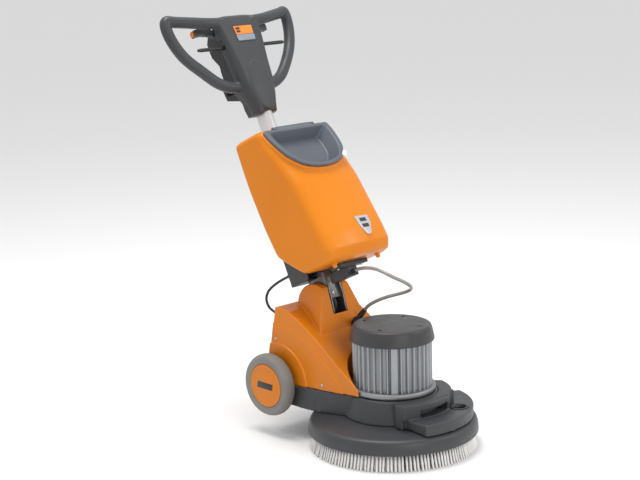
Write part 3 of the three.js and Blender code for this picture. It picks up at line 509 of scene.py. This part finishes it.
def make_cord(name, route, radius, node, slot):
    line = curve_points(route, 110)
    piece = tube(name, line, radius, 18)
    piece.data.transform(MACHINE)
    for polygon in piece.data.polygons:
        polygon.use_smooth = True
    piece.data.materials.append(LOOKS[slot])
    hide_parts(node)
    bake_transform(piece)


def make_cords():
    make_cord("hose_run", HOSE_ROUTE, 4.5, "water_hose", "hose_tube")
    make_cord("cable_run", CABLE_ROUTE, 3.5, "power_cable", "cable_jacket")


# ---- brush ----
# Tuft rings from the middle out: radius, tufts.
TUFT_RINGS = [(80, 46), (97, 56), (114, 66), (131, 76), (148, 86), (165, 96), (179, 116), (191, 128),
              (202, 138)]
TUFT_SIDES = 6
OUTER_TUFT_RINGS = 3


def make_brush():
    """Tufts splay outwards from the block; the outer rings are the densest."""
    points = []
    faces = []
    for ring, (radius, count) in enumerate(TUFT_RINGS):
        outer = ring >= len(TUFT_RINGS) - OUTER_TUFT_RINGS
        for k in range(count):
            angle = 2 * math.pi * (k + 0.5 * (ring % 2)) / count + random.uniform(-0.004, 0.004)
            splay = (10.2 if outer else 3) * random.uniform(0.85, 1.05)
            twist = random.uniform(-0.006, 0.006)
            foot = 0.25 + random.uniform(0, 1.6)
            across = 2.9 if outer else 3.4
            for height, r, wide, turn in ((39.4, radius, across * 0.8, 0),
                                          (22, radius + splay * 0.35, across * 1.05, twist * 0.5),
                                          (foot, radius + splay, across * 0.95, twist)):
                centre = angle + turn
                cx, cy = r * math.cos(centre), r * math.sin(centre)
                for s in range(TUFT_SIDES):
                    spin = 2 * math.pi * s / TUFT_SIDES + angle * 3
                    points.append((cx + wide * math.cos(spin), cy + wide * math.sin(spin), height))
            base = len(points) - 3 * TUFT_SIDES
            for level in (0, 1):
                for s in range(TUFT_SIDES):
                    n = (s + 1) % TUFT_SIDES
                    a = base + level * TUFT_SIDES
                    b = a + TUFT_SIDES
                    faces.append((a + s, a + n, b + n, b + s))
            faces.append(tuple(base + s for s in range(TUFT_SIDES)))
            faces.append(tuple(base + 2 * TUFT_SIDES + s for s in range(TUFT_SIDES)))
    shown(raw("bristle_tufts", points, faces), MACHINE, "brush", "bristle", ["bristles"], smooth_angle=80)
    profile = filleted([(60, 40), (204, 40), (204, 53), (199, 57), (60, 57)], 1.5, 3)
    shown(turned("brush_disc", profile, 96), MACHINE, "brush", "black_plastic", ["brush_block"])
    profile = [(0, 44)] + filleted([(54, 44), (58, 48), (58, 56), (30, 66)], 2, 3) + [(0, 66)]
    shown(turned("brush_clutch", profile, 72), MACHINE, "brush", "black_plastic", ["brush_hub"])


# ---- deck ----
HOOD = [(40.3, 70), (150, 73), (203, 63), (212, 57), (214, 42.5), (218, 42.5), (217.5, 62), (212.5, 75),
        (205, 79), (130, 88), (95, 88), (95, 84), (40.3, 84)]
PORT = (88, -146)


def make_deck():
    radii = [0, 6, 6, 4, 1.2, 1.6, 9, 11, 12, 6, 2, 2, 0]
    shown(turned("hood", filleted(HOOD, radii, 5), 160), MACHINE, "chassis", "grey_plastic", ["deck_hood"])

    above_hood = [(0, 60), (218, 40), (218.3, 62.3), (212.8, 75.3), (205, 79.3), (130, 88.3), (0, 88.3)]
    dome = turned("cover", [(0, 80), (130, 80), (116, 144), (112, 148), (0, 148)], 120)
    profile = [(-140, 76), (328, 84), (332, 154), (254, 154), (254, 136), (20, 148), (-140, 148)]
    plan = [(-100, 10), (-112, 60), (-128, 225), (-128, 316), (-116, 334), (116, 334), (128, 316),
            (128, 225), (112, 60), (100, 10)]
    arm = common(prism("arm", profile, -150, 150, "X"), prism("plan", filleted(plan, 14), 60, 170))
    cover = joined(dome, arm)
    cut(cover, rod("gearbox", 84.3, 60, 136), rod("shaft_hole", 20.5, 100, 160),
        block("arm_room", -120, 120, 150, 318, 60, 128), disc("axle_hole", PIN_HOLE, -140, 140, *AXLE, 32),
        turned("over_hood", above_hood, 120))
    shown(softened(cover, 2.0, 5), MACHINE, "chassis", "grey_plastic", ["deck_cover"])

    ledge = prism("ledge", arc(0, 0, 205, -125, -15, 60) + [(160, -32), (0, 0)], 60, 110)
    shelf = prism("shelf", arc(0, 0, 150, -125, -15, 40) + [(130, -20), (0, 0)], 80, 146)
    front = [(-98, -99), (-96, -128), (-60, -134), (0, -138), (60, -134), (98, -121), (98, -80), (0, -20)]
    grip = joined(prism("grip", front, 80, 148), shelf, ledge)
    cover_round = [(0, 60), (135.5, 60), (130.4, 79), (116.4, 144), (116.4, 170), (0, 170)]
    over = [(0, 40), (218, 40), (219, 64), (213.3, 77.3), (205.5, 81.5), (130, 90.5), (0, 90.5)]
    cut(grip, prism("left_cut", [(-150, -230), (-81, -230), (-83, -121), (-150, -121)], 50, 111),
        turned("cover_round", cover_round, 120),
        block("slot", -50, 50, -150, -112, 112.5, 131), rod("port", 25.3, 60, 170, *PORT, 60),
        turned("over", over, 120))
    shown(softened(grip, 1.6, 5), MACHINE, "chassis", "grey_plastic", ["front_grip"])
    lip = filleted([(15, 94), (25, 94), (25, 111.5), (19, 111.5), (15, 104)], 1.5, 3)
    shown(turned("port_sleeve", lip, 60, PORT), MACHINE, "chassis", "black_plastic", ["port_ring"])


# ---- motor ----
FINS = 36
# The angle of the one fin that is wider than the others.
WIDE_RIB = 226


def make_motor():
    outline = []
    for i in range(FINS):
        middle = WIDE_RIB + i * 360 / FINS
        wide = i == 0
        half = 5.0 if wide else 1.25
        tip = 101.2 if wide else 101.4
        marks = [(93.5, -half - 1.6), (94.5, -half - 0.9), (tip - 1, -half), (tip, -half + 0.5),
                 (tip, half - 0.5), (tip - 1, half), (94.5, half + 0.9), (93.5, half + 1.6)]
        for radius, offset in marks:
            angle = math.radians(middle + offset)
            outline.append((radius * math.cos(angle), radius * math.sin(angle)))
    housing = prism("finned_housing", outline, 164.3, 281.7)
    shown(cut(housing, rod("bore", 84, 160, 290, steps=96)), MACHINE, "chassis", "cast_aluminium",
          ["motor_housing"], smooth_angle=28)
    flange = filleted([(18.3, 149.5), (106, 149.5), (110, 153), (110, 161), (107, 164), (18.3, 164)],
                      [0, 1, 3, 3, 2, 0], 4)
    shown(turned("flange_ring", flange, 128), MACHINE, "chassis", "cast_aluminium", ["motor_flange"])
    cap = filleted([(0, 317), (96, 317), (100, 313), (104, 282), (108, 282), (107.6, 288), (102.5, 311),
                    (99, 319), (93, 320.6), (0, 321)], [0, 2, 2, 1, 1, 3, 4, 5, 8, 0], 5)
    dish = turned("cap", cap, 128)
    for k in range(4):
        angle = math.radians(20 + 90 * k)
        at = (76 * math.cos(angle), 76 * math.sin(angle))
        slit = block("recess", -7, 7, -2.6, 2.6, 318.2, 330)
        cut(dish, moved(slit, Matrix.Translation((*at, 0)) @ Matrix.Rotation(math.radians(40 * k), 4, "Z")))
    shown(dish, MACHINE, "chassis", "cap_plastic", ["motor_cap"], smooth_angle=30)


# ---- chassis shell ----
PANEL_EDGE = [(10, 166), (80, 213), (142, 259), (190, 291), (231, 315), (262, 328), (300, 334)]
BAND_EDGE = [(60, 120), (64, 150), (100, 192), (147, 231), (190, 260), (229, 276), (309, 292), (340, 292),
             (340, 120)]
HOSE_SEAT = tipped((36, 169, 283), 42)
SHELL_GLAND_SEAT = tipped((-60, 319, 288), -104)
BOX_GLAND_SEAT = tipped((-48, 48, 104), -90)
GLAND_HOLE = 6.3


def panel_profile(inset):
    top = [(y, z - inset) for y, z in reversed(PANEL_EDGE)]
    return [(10 + inset, 150 - inset), (248, 137.2 - 2 * inset), (253, 137.2 - 2 * inset),
            (253 + inset, 154.3 - inset), (334 - inset, 154.3 - inset), (334 - inset, 202),
            (311 - inset, 334 - inset)] + top


def cheeks(inset):
    side = [(-48 + inset, y, z) for y, z in arc(230, 331, 63.5 - inset, -10, 116, 30)]
    side += [(-90 + inset, 167 + inset, 277), (-88 + inset, 167 + inset, 240),
             (-50 + inset, 297 - inset, 240)]
    return hull("cheeks", mirrored(side))


def make_shell():
    body = prism("shell_body", panel_profile(0), -115, 115, "X")
    arch = common(disc("arch", 104, -122, 122, *AXLE, 96),
                  prism("wide", panel_profile(0.3), -150, 150, "X"))
    band = common(prism("band", filleted(BAND_EDGE, 20, 5), -118, 118, "X"),
                  prism("wide", panel_profile(0.4), -150, 150, "X"))
    joined(body, arch, band, cheeks(0))
    room = prism("room", panel_profile(4), -111, 111, "X")
    joined(room, cheeks(4))
    lining = joined(disc("lining", 52, -28.5, 28.5, *PIVOT.yz),
                    block("front", -28.5, 28.5, 140, 291.5, 330, 413))
    cut(room, rod("inner_wall", 118, 100, 400, steps=128), lining)
    slot = joined(disc("slot", 49, -26, 26, *PIVOT.yz), block("mouth", -26, 26, 150, 289, 333, 413))
    cut(body, rod("motor_room", 114, 100, 400, steps=128),
        rod("deck_round", 118, 100, 148.5, steps=128), room, slot,
        disc("pin_hole", PIN_HOLE, -30, 30, *PIVOT.yz, 32),
        moved(rod("hose_hole", 9.3, -30, 30, steps=32), HOSE_SEAT),
        moved(rod("cable_hole", GLAND_HOLE, -20, 20, steps=32), SHELL_GLAND_SEAT))
    # The shell takes the painted-light copy of the orange.
    shown(softened(body, 1.6, 4), MACHINE, "chassis", "orange_plastic", ["chassis_shell"], SHELL_ORANGE_PAINTED_LIGHT)
    for side in (-1, 1):
        tag = "left" if side < 0 else "right"
        screw(f"shell_screw_rear_{tag}", MACHINE, (118.6 * side, 308, 249), (side, 0, 0), "chassis")
        screw(f"shell_screw_front_{tag}", MACHINE, (118.6 * side, 138, 155), (side, 0, 0), "chassis")


def make_fittings():
    profile = [(0, -14), (9, -14), (9, 10), (11, 11), (11, 17), (7.6, 18)]
    for foot in (24, 30, 36, 42):
        profile += [(7.6, foot), (7.0, foot + 1)]
    profile += [(7.6, 48), (6.4, 49), (6.4, 59.6), (0, 60)]
    shown(moved(turned("hose_elbow", profile, 40), HOSE_SEAT), MACHINE, "chassis", "black_plastic",
          ["hose_fitting"])
    gland = [(0, -8), (6, -8), (6, 4), (8, 4.5), (8, 9), (6.2, 10), (6.2, 11), (5.6, 12), (5.6, 13), (5, 14),
             (5, 15), (4.4, 18), (0, 18)]
    shown(moved(turned("shell_strain_relief", gland, 36), SHELL_GLAND_SEAT), MACHINE, "chassis",
          "black_plastic", ["cable_gland_shell"])
    gland = [(0, -6), (6, -6), (6, 1), (8, 1), (8, 4), (5.8, 5), (5.8, 6.5), (5.3, 7.5), (5.3, 9), (4.8, 12),
             (0, 12)]
    shown(moved(turned("box_strain_relief", gland, 36), BOX_GLAND_SEAT), HANDLE, "handle", "black_plastic",
          ["cable_gland_box"])


# ---- wheels ----
def make_wheels():
    """Both wheels from one profile of [radius, distance from the middle], mirrored for the left."""
    tyre = filleted([(58, 137), (70, 135), (76, 135), (82.5, 145), (82.5, 161), (76, 171.5), (70, 172),
                     (66, 170), (58, 169)], [1, 4, 6, 7, 7, 6, 3, 3, 1], 5)
    hub = filleted([(12, 136), (30, 136), (30, 148), (57.7, 148), (57.7, 165), (12, 165)],
                   [1, 2, 3, 2, 1, 1], 3)
    dome = filleted([(57.4, 169.4), (54.5, 170.6), (51, 170.2), (50, 169.2), (46, 169.4), (30, 171.2)],
                    1.2, 3)
    cap = [(0, 165.3), (57.4, 165.3)] + dome + [(0, 171.5)]
    bar = filleted([(-30, -8), (-27, 9), (30, 8), (27, -9)], 2.5, 3)
    for side in (-1, 1):
        tag = "left" if side < 0 else "right"
        body = f"wheel_{tag}"
        # The wheel covers take the painted-light copy of the orange.
        for name, profile, steps, slot, node, look in (
                ("tyre_ring", tyre, 96, "grey_rubber", "tyre", None),
                ("hub_disc", hub, 72, "grey_plastic", "wheel_hub", None),
                ("wheel_cover", cap, 96, "orange_plastic", "hub_cap", SHELL_ORANGE_PAINTED_LIGHT)):
            outline = [(r, side * x) for r, x in profile]
            shown(turned(f"{name}_{tag}", outline, steps, AXLE, "X"), MACHINE, body, slot,
                  [f"{node}_{tag}"], look)
        outwards = tipped((0, *AXLE), side * 90, "Y") @ Matrix.Rotation(math.radians(90), 4, "Z")
        plate = moved(prism(f"hub_bar_{tag}", bar, 170.2, 171.9), outwards)
        shown(bevelled(plate, 0.4, 2), MACHINE, body, None, look=LOOKS["black_plastic"])
    shown(disc("wheel_axle", 8, -163, 163, *AXLE, 40), MACHINE, "chassis", "zinc_steel", ["axle"])


# ---- handle: neck and tube ----
def make_neck():
    flange = [(-38, -22)] + arc(0, 0, 46, 209, 300, 18)
    flange += [(21, 0), (21, 70), (26, 89), (-30, 89), (-45, 78), (-45, 16)]
    neck = joined(prism("neck_channel", flange, -24, -20, "X"), prism("right", flange, 20, 24, "X"),
                  block("web", -21, 21, -33, -29.6, 10, 89), block("top", -24, 24, -30, 26, 84, 89),
                  turned("socket", [(TUBE_BORE, 88), (30, 88), (30, 150), (TUBE_BORE, 150)], 64))
    cut(neck, rod("rod_hole", 7, 60, 100), disc("pin_hole", PIN_HOLE, -30, 30, 0, 0, 40),
        disc("window", 9, -40, 40, -8, 40, 40))
    shown(bevelled(neck, 0.8, 2), HANDLE, "handle", "steel", ["neck_bracket"], NECK_STEEL, 32)
    pipe = filleted([(20.5, 92), (TUBE_RADIUS, 92), (TUBE_RADIUS, 600), (20.5, 600)], 0.6, 2)
    shown(turned("tube_column", pipe, 80), HANDLE, "handle", "bright_aluminium", ["handle_tube"])
    screw("neck_bolt", HANDLE, (0, -33.2, 24), (0, -1, 0), "handle", 5.5)
    screw("neck_screw_top", HANDLE, (0, -33.2, 52), (0, -1, 0), "handle", 3.6)


# ---- tank and lid ----
TANK_FOOT = 80
TANK_TOP = 470
# Tank wall rings from foot to top: height, front half width, front corner y, front middle y,
# rear half width, rear y.
TANK_LEVELS = [
    (TANK_FOOT, 101, -166, -178, 115, -81),
    (86, 110, -181, -192, 123, -74),
    (112, 115.5, -187.5, -201, 126.5, -45),
    (150, 116.5, -181, -197.5, 127, -4),
    (224, 117, -165.5, -182.5, 127, 8),
    (302, 117, -149.5, -164.5, 126, 16),
    (345, 119, -131.5, -150.5, 125, 20),
    (400, 124, -112.5, -131.5, 125, 20),
    (462, 124, -90.5, -106.5, 124, 20),
    (TANK_TOP, 121, -86, -98, 121, 17)]
TANK_CORNERS = [14, 26, 60, 60, 26, 14]
TANK_WALL = 5


def tank_level(v):
    for low, high in zip(TANK_LEVELS, TANK_LEVELS[1:]):
        if low[0] <= v <= high[0]:
            t = (v - low[0]) / (high[0] - low[0])
            return [a + (b - a) * t for a, b in zip(low, high)]
    return list(TANK_LEVELS[-1])


def tank_ring(v, inset):
    _, front_half, front_y, middle_y, rear_half, rear_y = tank_level(v)
    half = [(rear_half - inset, rear_y - inset), (front_half - inset, front_y + inset),
            (0.3 * front_half, middle_y + inset)]
    outline = half + [(-x, y) for x, y in reversed(half)]
    return [(x, y, v) for x, y in filleted(outline, TANK_CORNERS, 7)]


def tank_skin(name, inset):
    """The tank's wall moved inwards by inset, closed and rounded at foot and top."""
    low = TANK_FOOT + inset
    high = TANK_TOP - inset
    rings = []
    for extra, lift in ((3, 0), (1, 2), (0, 5), (0, 9)):
        rings.append([(x, y, low + lift) for x, y, _ in tank_ring(low + lift, inset + extra)])
    v = low + 14
    while v < high - 14:
        rings.append(tank_ring(v, inset))
        v += 9
    for extra, drop in ((0, 13), (1, 8), (3.5, 4), (7, 1.4), (12, 0)):
        rings.append([(x, y, high - drop) for x, y, _ in tank_ring(high - drop, inset + extra)])
    skin = swept(name, rings)
    relax = skin.modifiers.new("relax", "SMOOTH")
    relax.factor = 0.5
    relax.iterations = 3
    return settled(skin)


LID_REAR = (-97, 465)
LID_SLOPE = math.atan2(75, 136)
LID_HALF = [(115, 0), (114, 38), (106, 76), (99, 97), (71, 132), (35, 145)]
LID_MIDDLE = 68
LID_HINGE = (-88.5, 467.6)
ON_SLOPE = Matrix(((1, 0, 0, 0), (0, -math.sin(LID_SLOPE), -math.cos(LID_SLOPE), LID_REAR[0]),
                   (0, -math.cos(LID_SLOPE), math.sin(LID_SLOPE), LID_REAR[1]), (0, 0, 0, 1)))


def lid_outline(factor=1.0, dy=0.0):
    """The lid's edge, scaled about its middle and moved down the slope by dy."""
    whole = [(-x, y) for x, y in LID_HALF] + [(0, 149)] + list(reversed(LID_HALF))
    radii = [10] + [14] * (len(whole) - 2) + [10]
    return [(x * factor, (y - LID_MIDDLE) * factor + LID_MIDDLE + dy) for x, y in filleted(whole, radii, 5)]


def slope_prism(name, outline, low, high):
    """A prism that stands on the lid's slope."""
    return moved(prism(name, outline, low, high), ON_SLOPE)


def make_tank():
    tank = tank_skin("tank_body", 0)
    round_lid = [(1.03 * x, 1.03 * y if y > 1 else 4) for x, y in lid_outline()]
    collar = slope_prism("collar", round_lid, -40, -9)
    joined(tank, collar)
    seat = [(-126, -10)] + [(1.03 * x, y + 2 if y > 0 else y) for x, y in lid_outline()] + [(126, -10)]
    inner = tank_skin("inner", TANK_WALL)
    keep = joined(block("keep", -31, 31, 0, 60, 60, 600), rod("keep_rod", 31, 60, 600),
                  block("keep_neck", -39, 39, -39, 60, 60, 157))
    cut(inner, keep)
    cut(tank, slope_prism("seat", seat, -9, 120), inner,
        slope_prism("mouth", lid_outline(0.93, 2), -60, 20),
        slope_prism("knuckle_room", [(-62, -14), (62, -14), (62, 5), (-62, 5)], -14, 10),
        block("channel", -26, 26, 0, 60, 60, 600), rod("channel_rod", 26, 60, 600),
        block("neck_room", -34, 34, -34, 60, 60, 152), rod("outlet", 9, 60, 100, 0, -122))
    for x0, x1, tag in ((-73, -62.5, "left"), (62.5, 73, "right")):
        lug = disc(f"hinge_lug_{tag}", 4.8, x0, x1, *LID_HINGE, 40)
        shown(bevelled(lug, 0.8, 2), HANDLE, "handle", None, look=LOOKS["lid_plastic"])
    for x in (-79, 79):
        joined(tank, turned("peg", [(0, 69), (5, 69), (6, 71), (6.5, 90), (0, 90)], 32, (x, -154)))
    shown(softened(tank, 2.2, 5), HANDLE, "handle", "orange_plastic", ["solution_tank"])

    plate = slope_prism("lid", lid_outline(), -8.6, 0)
    basin = slope_prism("basin", lid_outline(0.9, 1), -10, -1)
    deep = [(x, y, -34) for x, y in lid_outline(0.7, 1)]
    brim = [(x, y, -2) for x, y in lid_outline(0.9, 1)]
    outer = moved(swept("outer", [deep, brim]), ON_SLOPE)
    floor_ring = [(x, y, -31) for x, y in lid_outline(0.66, 1)]
    rim = [(x, y, 1) for x, y in lid_outline(0.88, 1)]
    tray = moved(swept("tray", [floor_ring, rim]), ON_SLOPE)
    knuckle = slope_prism("knuckle", [(-60, -11), (60, -11), (60, 1), (-60, 1)], -11, -1.5)
    joined(plate, basin, outer, knuckle)
    cut(plate, tray, disc("hinge_bore", 3.3, -71, 71, *LID_HINGE, 24))
    shown(softened(plate, 1.6, 5), HANDLE, "lid", "lid_plastic", ["tank_lid"])
    shown(disc("lid_pin", 3, -70, 70, *LID_HINGE, 24), HANDLE, "handle", "steel", ["hinge_rod"])
    tab = slope_prism("lid_tab", filleted([(70, 126), (86, 110), (94, 117), (78, 134)], 3, 3), -6, 1.5)
    shown(bevelled(tab, 1.2, 3), HANDLE, "lid", None, look=CLEAR_TAB)


# ---- valve and bracket box under the tank ----
def make_valve():
    valve = joined(block("valve_body", -26, 10, -136, -66, 42, 69),
                   block("plate", -50, 50, -142, -104, 68, 79.4))
    stub = moved(rod("stub", 6, -2, 12, steps=32), tipped((-8, -136, 52), 90))
    joined(valve, stub, rod("neck", 8.6, 78, 82, 0, -122))
    shown(bevelled(valve, 1.5, 3), HANDLE, "handle", "black_plastic", ["solution_valve"], smooth_angle=30)
    for x, tag in ((-42, "left"), (42, "right")):
        screw(f"valve_screw_{tag}", HANDLE, (x, -123, 67.6), (0, 0, -1), "handle", 3.4)


def make_bracket_box():
    profile = [(-24, 76), (-14, 70), (48, 70), (48, 182), (40, 190), (-24, 190)]
    box = prism("neck_box", profile, -60, 60, "X")
    cut(box, block("room", -57, 57, -30, 45, 73, 187), block("neck_room", -25, 25, -60, 31, 60, 160),
        rod("tube_room", 25, 60, 300, steps=64), tank_skin("tank_room", -1.2),
        moved(rod("gland_hole", GLAND_HOLE, -10, 10, steps=32), BOX_GLAND_SEAT))
    shown(softened(box, 1.5, 4), HANDLE, "handle", "grey_plastic", ["bracket_box"])


# ---- handle head ----
HEAD_WIDTHS = [(532, 34), (548, 38), (585, 50), (622, 58), (680, 62), (721, 67), (770, 72), (800, 75),
               (811, 68), (817, 30)]
LOOP = [(46, 4, 618), (78, 8, 622), (114, 11, 640), (151, 14, 676), (186, 20, 718), (206, 22, 760),
        (214, 22, 799), (209, 20, 823), (184, 14, 818), (141, 4, 809), (100, -4, 801), (50, -8, 796)]
TRIGGER_PIN = 770
LEVER_SHAFT = (34, 716)


def head_outline(inset):
    right = [(half - inset, v) for v, half in HEAD_WIDTHS]
    return right + [(-x, v) for x, v in reversed(right)]


def make_head():
    side = filleted([(8, 534), (-24, 534), (-28, 560), (-30, 640), (-26, 730), (-23, 784), (-14, 811),
                     (-4, 818), (8, 818)], [0, 8, 20, 60, 60, 20, 8, 3, 0], 4)
    depths = ((60, 0), (-5, 0), (-13, 1.5), (-20, 5), (-34, 17))
    rings = [[(x, y, v) for x, v in head_outline(inset)] for y, inset in depths]
    front = common(prism("head_case", side, -90, 90, "X"), swept("head_front", rings))
    collar = [(32, 537), (37, 560), (38, 584), (-38, 584), (-37, 560), (-32, 537)]
    joined(front, prism("collar", collar, 7, 31, "Y"))
    for sign in (1, -1):
        shoulder = [(sign * x, v) for x, v in ((29.5, 548), (29.5, 619), (64, 619), (54, 600), (40, 572))]
        joined(front, prism("shoulder", shoulder, 4, 25, "Y"))
    bulge = turned("bulge", [(0, -6), (39, -6), (38.5, 1.6), (36.5, 4.2), (24, 6.2), (10, 7), (0, 7.2)], 64)
    joined(front, moved(bulge, tipped((0, -27, 610), 90) @ Matrix.Diagonal((1, 1.85, 1, 1))))
    cavity = common(prism("cavity", head_outline(4), -14, 20, "Y"),
                    block("cavity_box", -90, 90, -14, 20, 604, 806))
    cut(front, cavity, rod("bore", TUBE_BORE, 500, 606, steps=64),
        block("lever_slot", -90, 90, -8, 30, 722, 752))
    for x in (-60, 60):
        cut(front, moved(rod("pin_hole", 3.3, -18.5, 30, steps=24), tipped((x, 0, TRIGGER_PIN), -90)))
    for sign in (1, -1):
        line = curve_points([(sign * x, y, v) for x, y, v in LOOP], 120)
        bow = tube("bow", line, 15.3, 28)
        cut(bow, block("inside", -48, 48, -60, 60, 500, 850), block("behind", -74, 74, 8, 60, 500, 850))
        joined(front, bow)
    shown(softened(front, 2.0, 6), HANDLE, "handle", "grey_plastic", ["handle_head"])

    profile = [(8.3, 625), (50, 625), (60, 650), (58, 700), (76, 730), (78, 768), (62, 792), (8.3, 806)]
    rear = prism("rear_case", profile, -48, 48, "X")
    room = prism("room", [(y - 4 if y > 9 else 0, v + 5 if v < 700 else v - 5) for y, v in profile],
                 -44, 44, "X")
    cut(rear, room, block("lever_slot", -60, 60, 0, 12, 722, 752),
        disc("shaft_hole", 4.3, -47.5, 47.5, *LEVER_SHAFT, 24))
    for k in range(5):
        cut(rear, block("vent", -30, 30, 76, 90, 738 + 7 * k, 741 + 7 * k))
    shown(softened(rear, 1.5, 4), HANDLE, "handle", "black_plastic", ["head_rear_cover"])
    hook = prism("cord_hook", [(8.3, 586), (30, 586), (94, 610), (100, 648), (90, 648), (84, 620), (40, 614),
                               (8.3, 614)], -28, 28, "X")
    cut(hook, rod("bore", TUBE_BORE, 500, 700, steps=64))
    shown(softened(hook, 1.3, 4), HANDLE, "handle", "black_plastic", ["cable_hook"])

    # The label field on the front: a two-tone plate with plain blocks in place of any marking.
    tilt = Matrix.Rotation(math.radians(-3.2), 4, "X")
    for name, top, at, look in (("label_upper", 24, (2, -25.6, 755), LABEL_ORANGE),
                                ("label_lower", 17, (2, -26.6, 737), LABEL_GREY)):
        plate = prism(name, filleted([(-30, 0), (30, 0), (32, top), (-32, top)], 3, 3), -1.2, 0.7, "Y")
        plate = moved(plate, Matrix.Translation(at) @ tilt)
        shown(bevelled(plate, 0.4, 2), HANDLE, "handle", None, look=look)
    for k, v in enumerate((763, 772)):
        mark = block(f"label_block_{k}", -7, 7, -0.6, 0.4, -3.2, 3.2)
        mark = moved(mark, Matrix.Translation((-18, -26.3, v)) @ tilt)
        shown(bevelled(mark, 0.3, 2), HANDLE, "handle", None, look=LOOKS["black_plastic"])


# ---- lever, triggers and safety button ----
def make_controls():
    line = [Vector((x, 0, 730)) for x in range(-152, 153, 8)]
    lever = tube("tilt_bar", line, lambda s: 5 if 0.01 < s < 0.99 else 3.8, 28)
    arm = filleted([(-3, 726), (4, 726), (32, 711), (38, 716), (32, 721), (4, 734), (-3, 734)], 1.5, 2)
    fork = [(3, 689), (10, 687), (38, 714), (33, 719), (9.5, 693), (3, 693)]
    parts = [prism("arm", arm, x - 3, x + 3, "X") for x in (-40, 40)]
    parts += [prism("fork", fork, x, x + 3, "X") for x in (-7, 4)]
    joined(lever, *parts, disc("shaft", 4, -47, 47, *LEVER_SHAFT, 32))
    shown(lever, HANDLE, "lever", "black_plastic", ["tilt_lever"], smooth_angle=32)

    for side, name in ((-1, "left"), (1, "right")):
        outline = filleted([(52, 764), (52, 779), (76, 797), (96, 800), (129, 794), (129, 775), (104, 779),
                            (76, 776)], [2, 2, 5, 6, 4, 4, 6, 3], 4)
        finger = prism(f"finger_{name}", [(side * x, v) for x, v in outline], 20, 35, "Y")
        pin = moved(rod("pin", 3, -18, 22, steps=24), tipped((side * 60, 0, TRIGGER_PIN), -90))
        if side < 0:
            cut(finger, block("pocket", -130, -120, 22, 33, 777, 792))
        for x, top in ((84, 779.2), (94, 779.2), (104, 777.2), (114, 777.2)):
            low, high = sorted((side * x, side * (x + 3)))
            cut(finger, block("groove", low, high, 15, 40, 740, top))
        bevelled(finger, 1.2, 3)
        shown(joined(finger, pin), HANDLE, f"trigger_{name}", "grey_plastic", [f"trigger_{name}"],
              smooth_angle=32)
    outline = filleted([(-134, 778), (-124.5, 778), (-124.5, 791.4), (-132, 791.4), (-134, 788)], 1.6, 3)
    button = prism("interlock_button", outline, 22.4, 32.6, "Y")
    shown(bevelled(button, 1.0, 3), HANDLE, "safety_button", "orange_plastic", ["safety_button"])


# ---- badge ----
def make_badge():
    """A plain silver shield low on the tank's front, with two dark bars."""
    shield = filleted([(-26, 24), (26, 24), (24, 0), (8, -30), (-8, -30), (-22, 0)], 4, 4)
    lean = tipped((30, -194.3, 158), -12) @ Matrix.Rotation(math.radians(6), 4, "Z")
    plate = moved(prism("shield", shield, -1.2, 2.5, "Y"), lean)
    shown(bevelled(plate, 0.6, 3), HANDLE, "handle", None, look=PLATE_SILVER)
    for k, z in enumerate((12, -5)):
        bar = moved(block(f"shield_bar_{k}", -12, 12, -2.0, -0.8, z - 5, z + 5), lean)
        shown(bevelled(bar, 0.4, 2), HANDLE, "handle", None, look=LOOKS["black_plastic"])


# ---- pieces inside ----
def finish_cad_nodes():
    """The pieces inside keep their CAD shape and get their own finish; the lock sector, pivot frame and
    pivot pin are made near black as painted shade for their recess.
    """
    slots = {entry["node"]: entry["material_slot"] for entry in frame["record"]["subparts"]}
    for name, node in frame["nodes"].items():
        # The lock sector, pivot frame and pivot pin get the near-black painted shade of their recess.
        look = RECESS_SHADE_STEEL if name in ("lock_sector", "pivot_frame", "pivot_pin") else LOOKS[slots[name]]
        if not node.material_slots:
            node.data.materials.append(look)
        for holder in node.material_slots:
            holder.material = look


make_camera()
make_studio()
make_cords()
make_brush()
make_deck()
make_motor()
make_shell()
make_fittings()
make_wheels()
make_neck()
make_tank()
make_valve()
make_bracket_box()
make_head()
make_controls()
make_badge()
finish_cad_nodes()
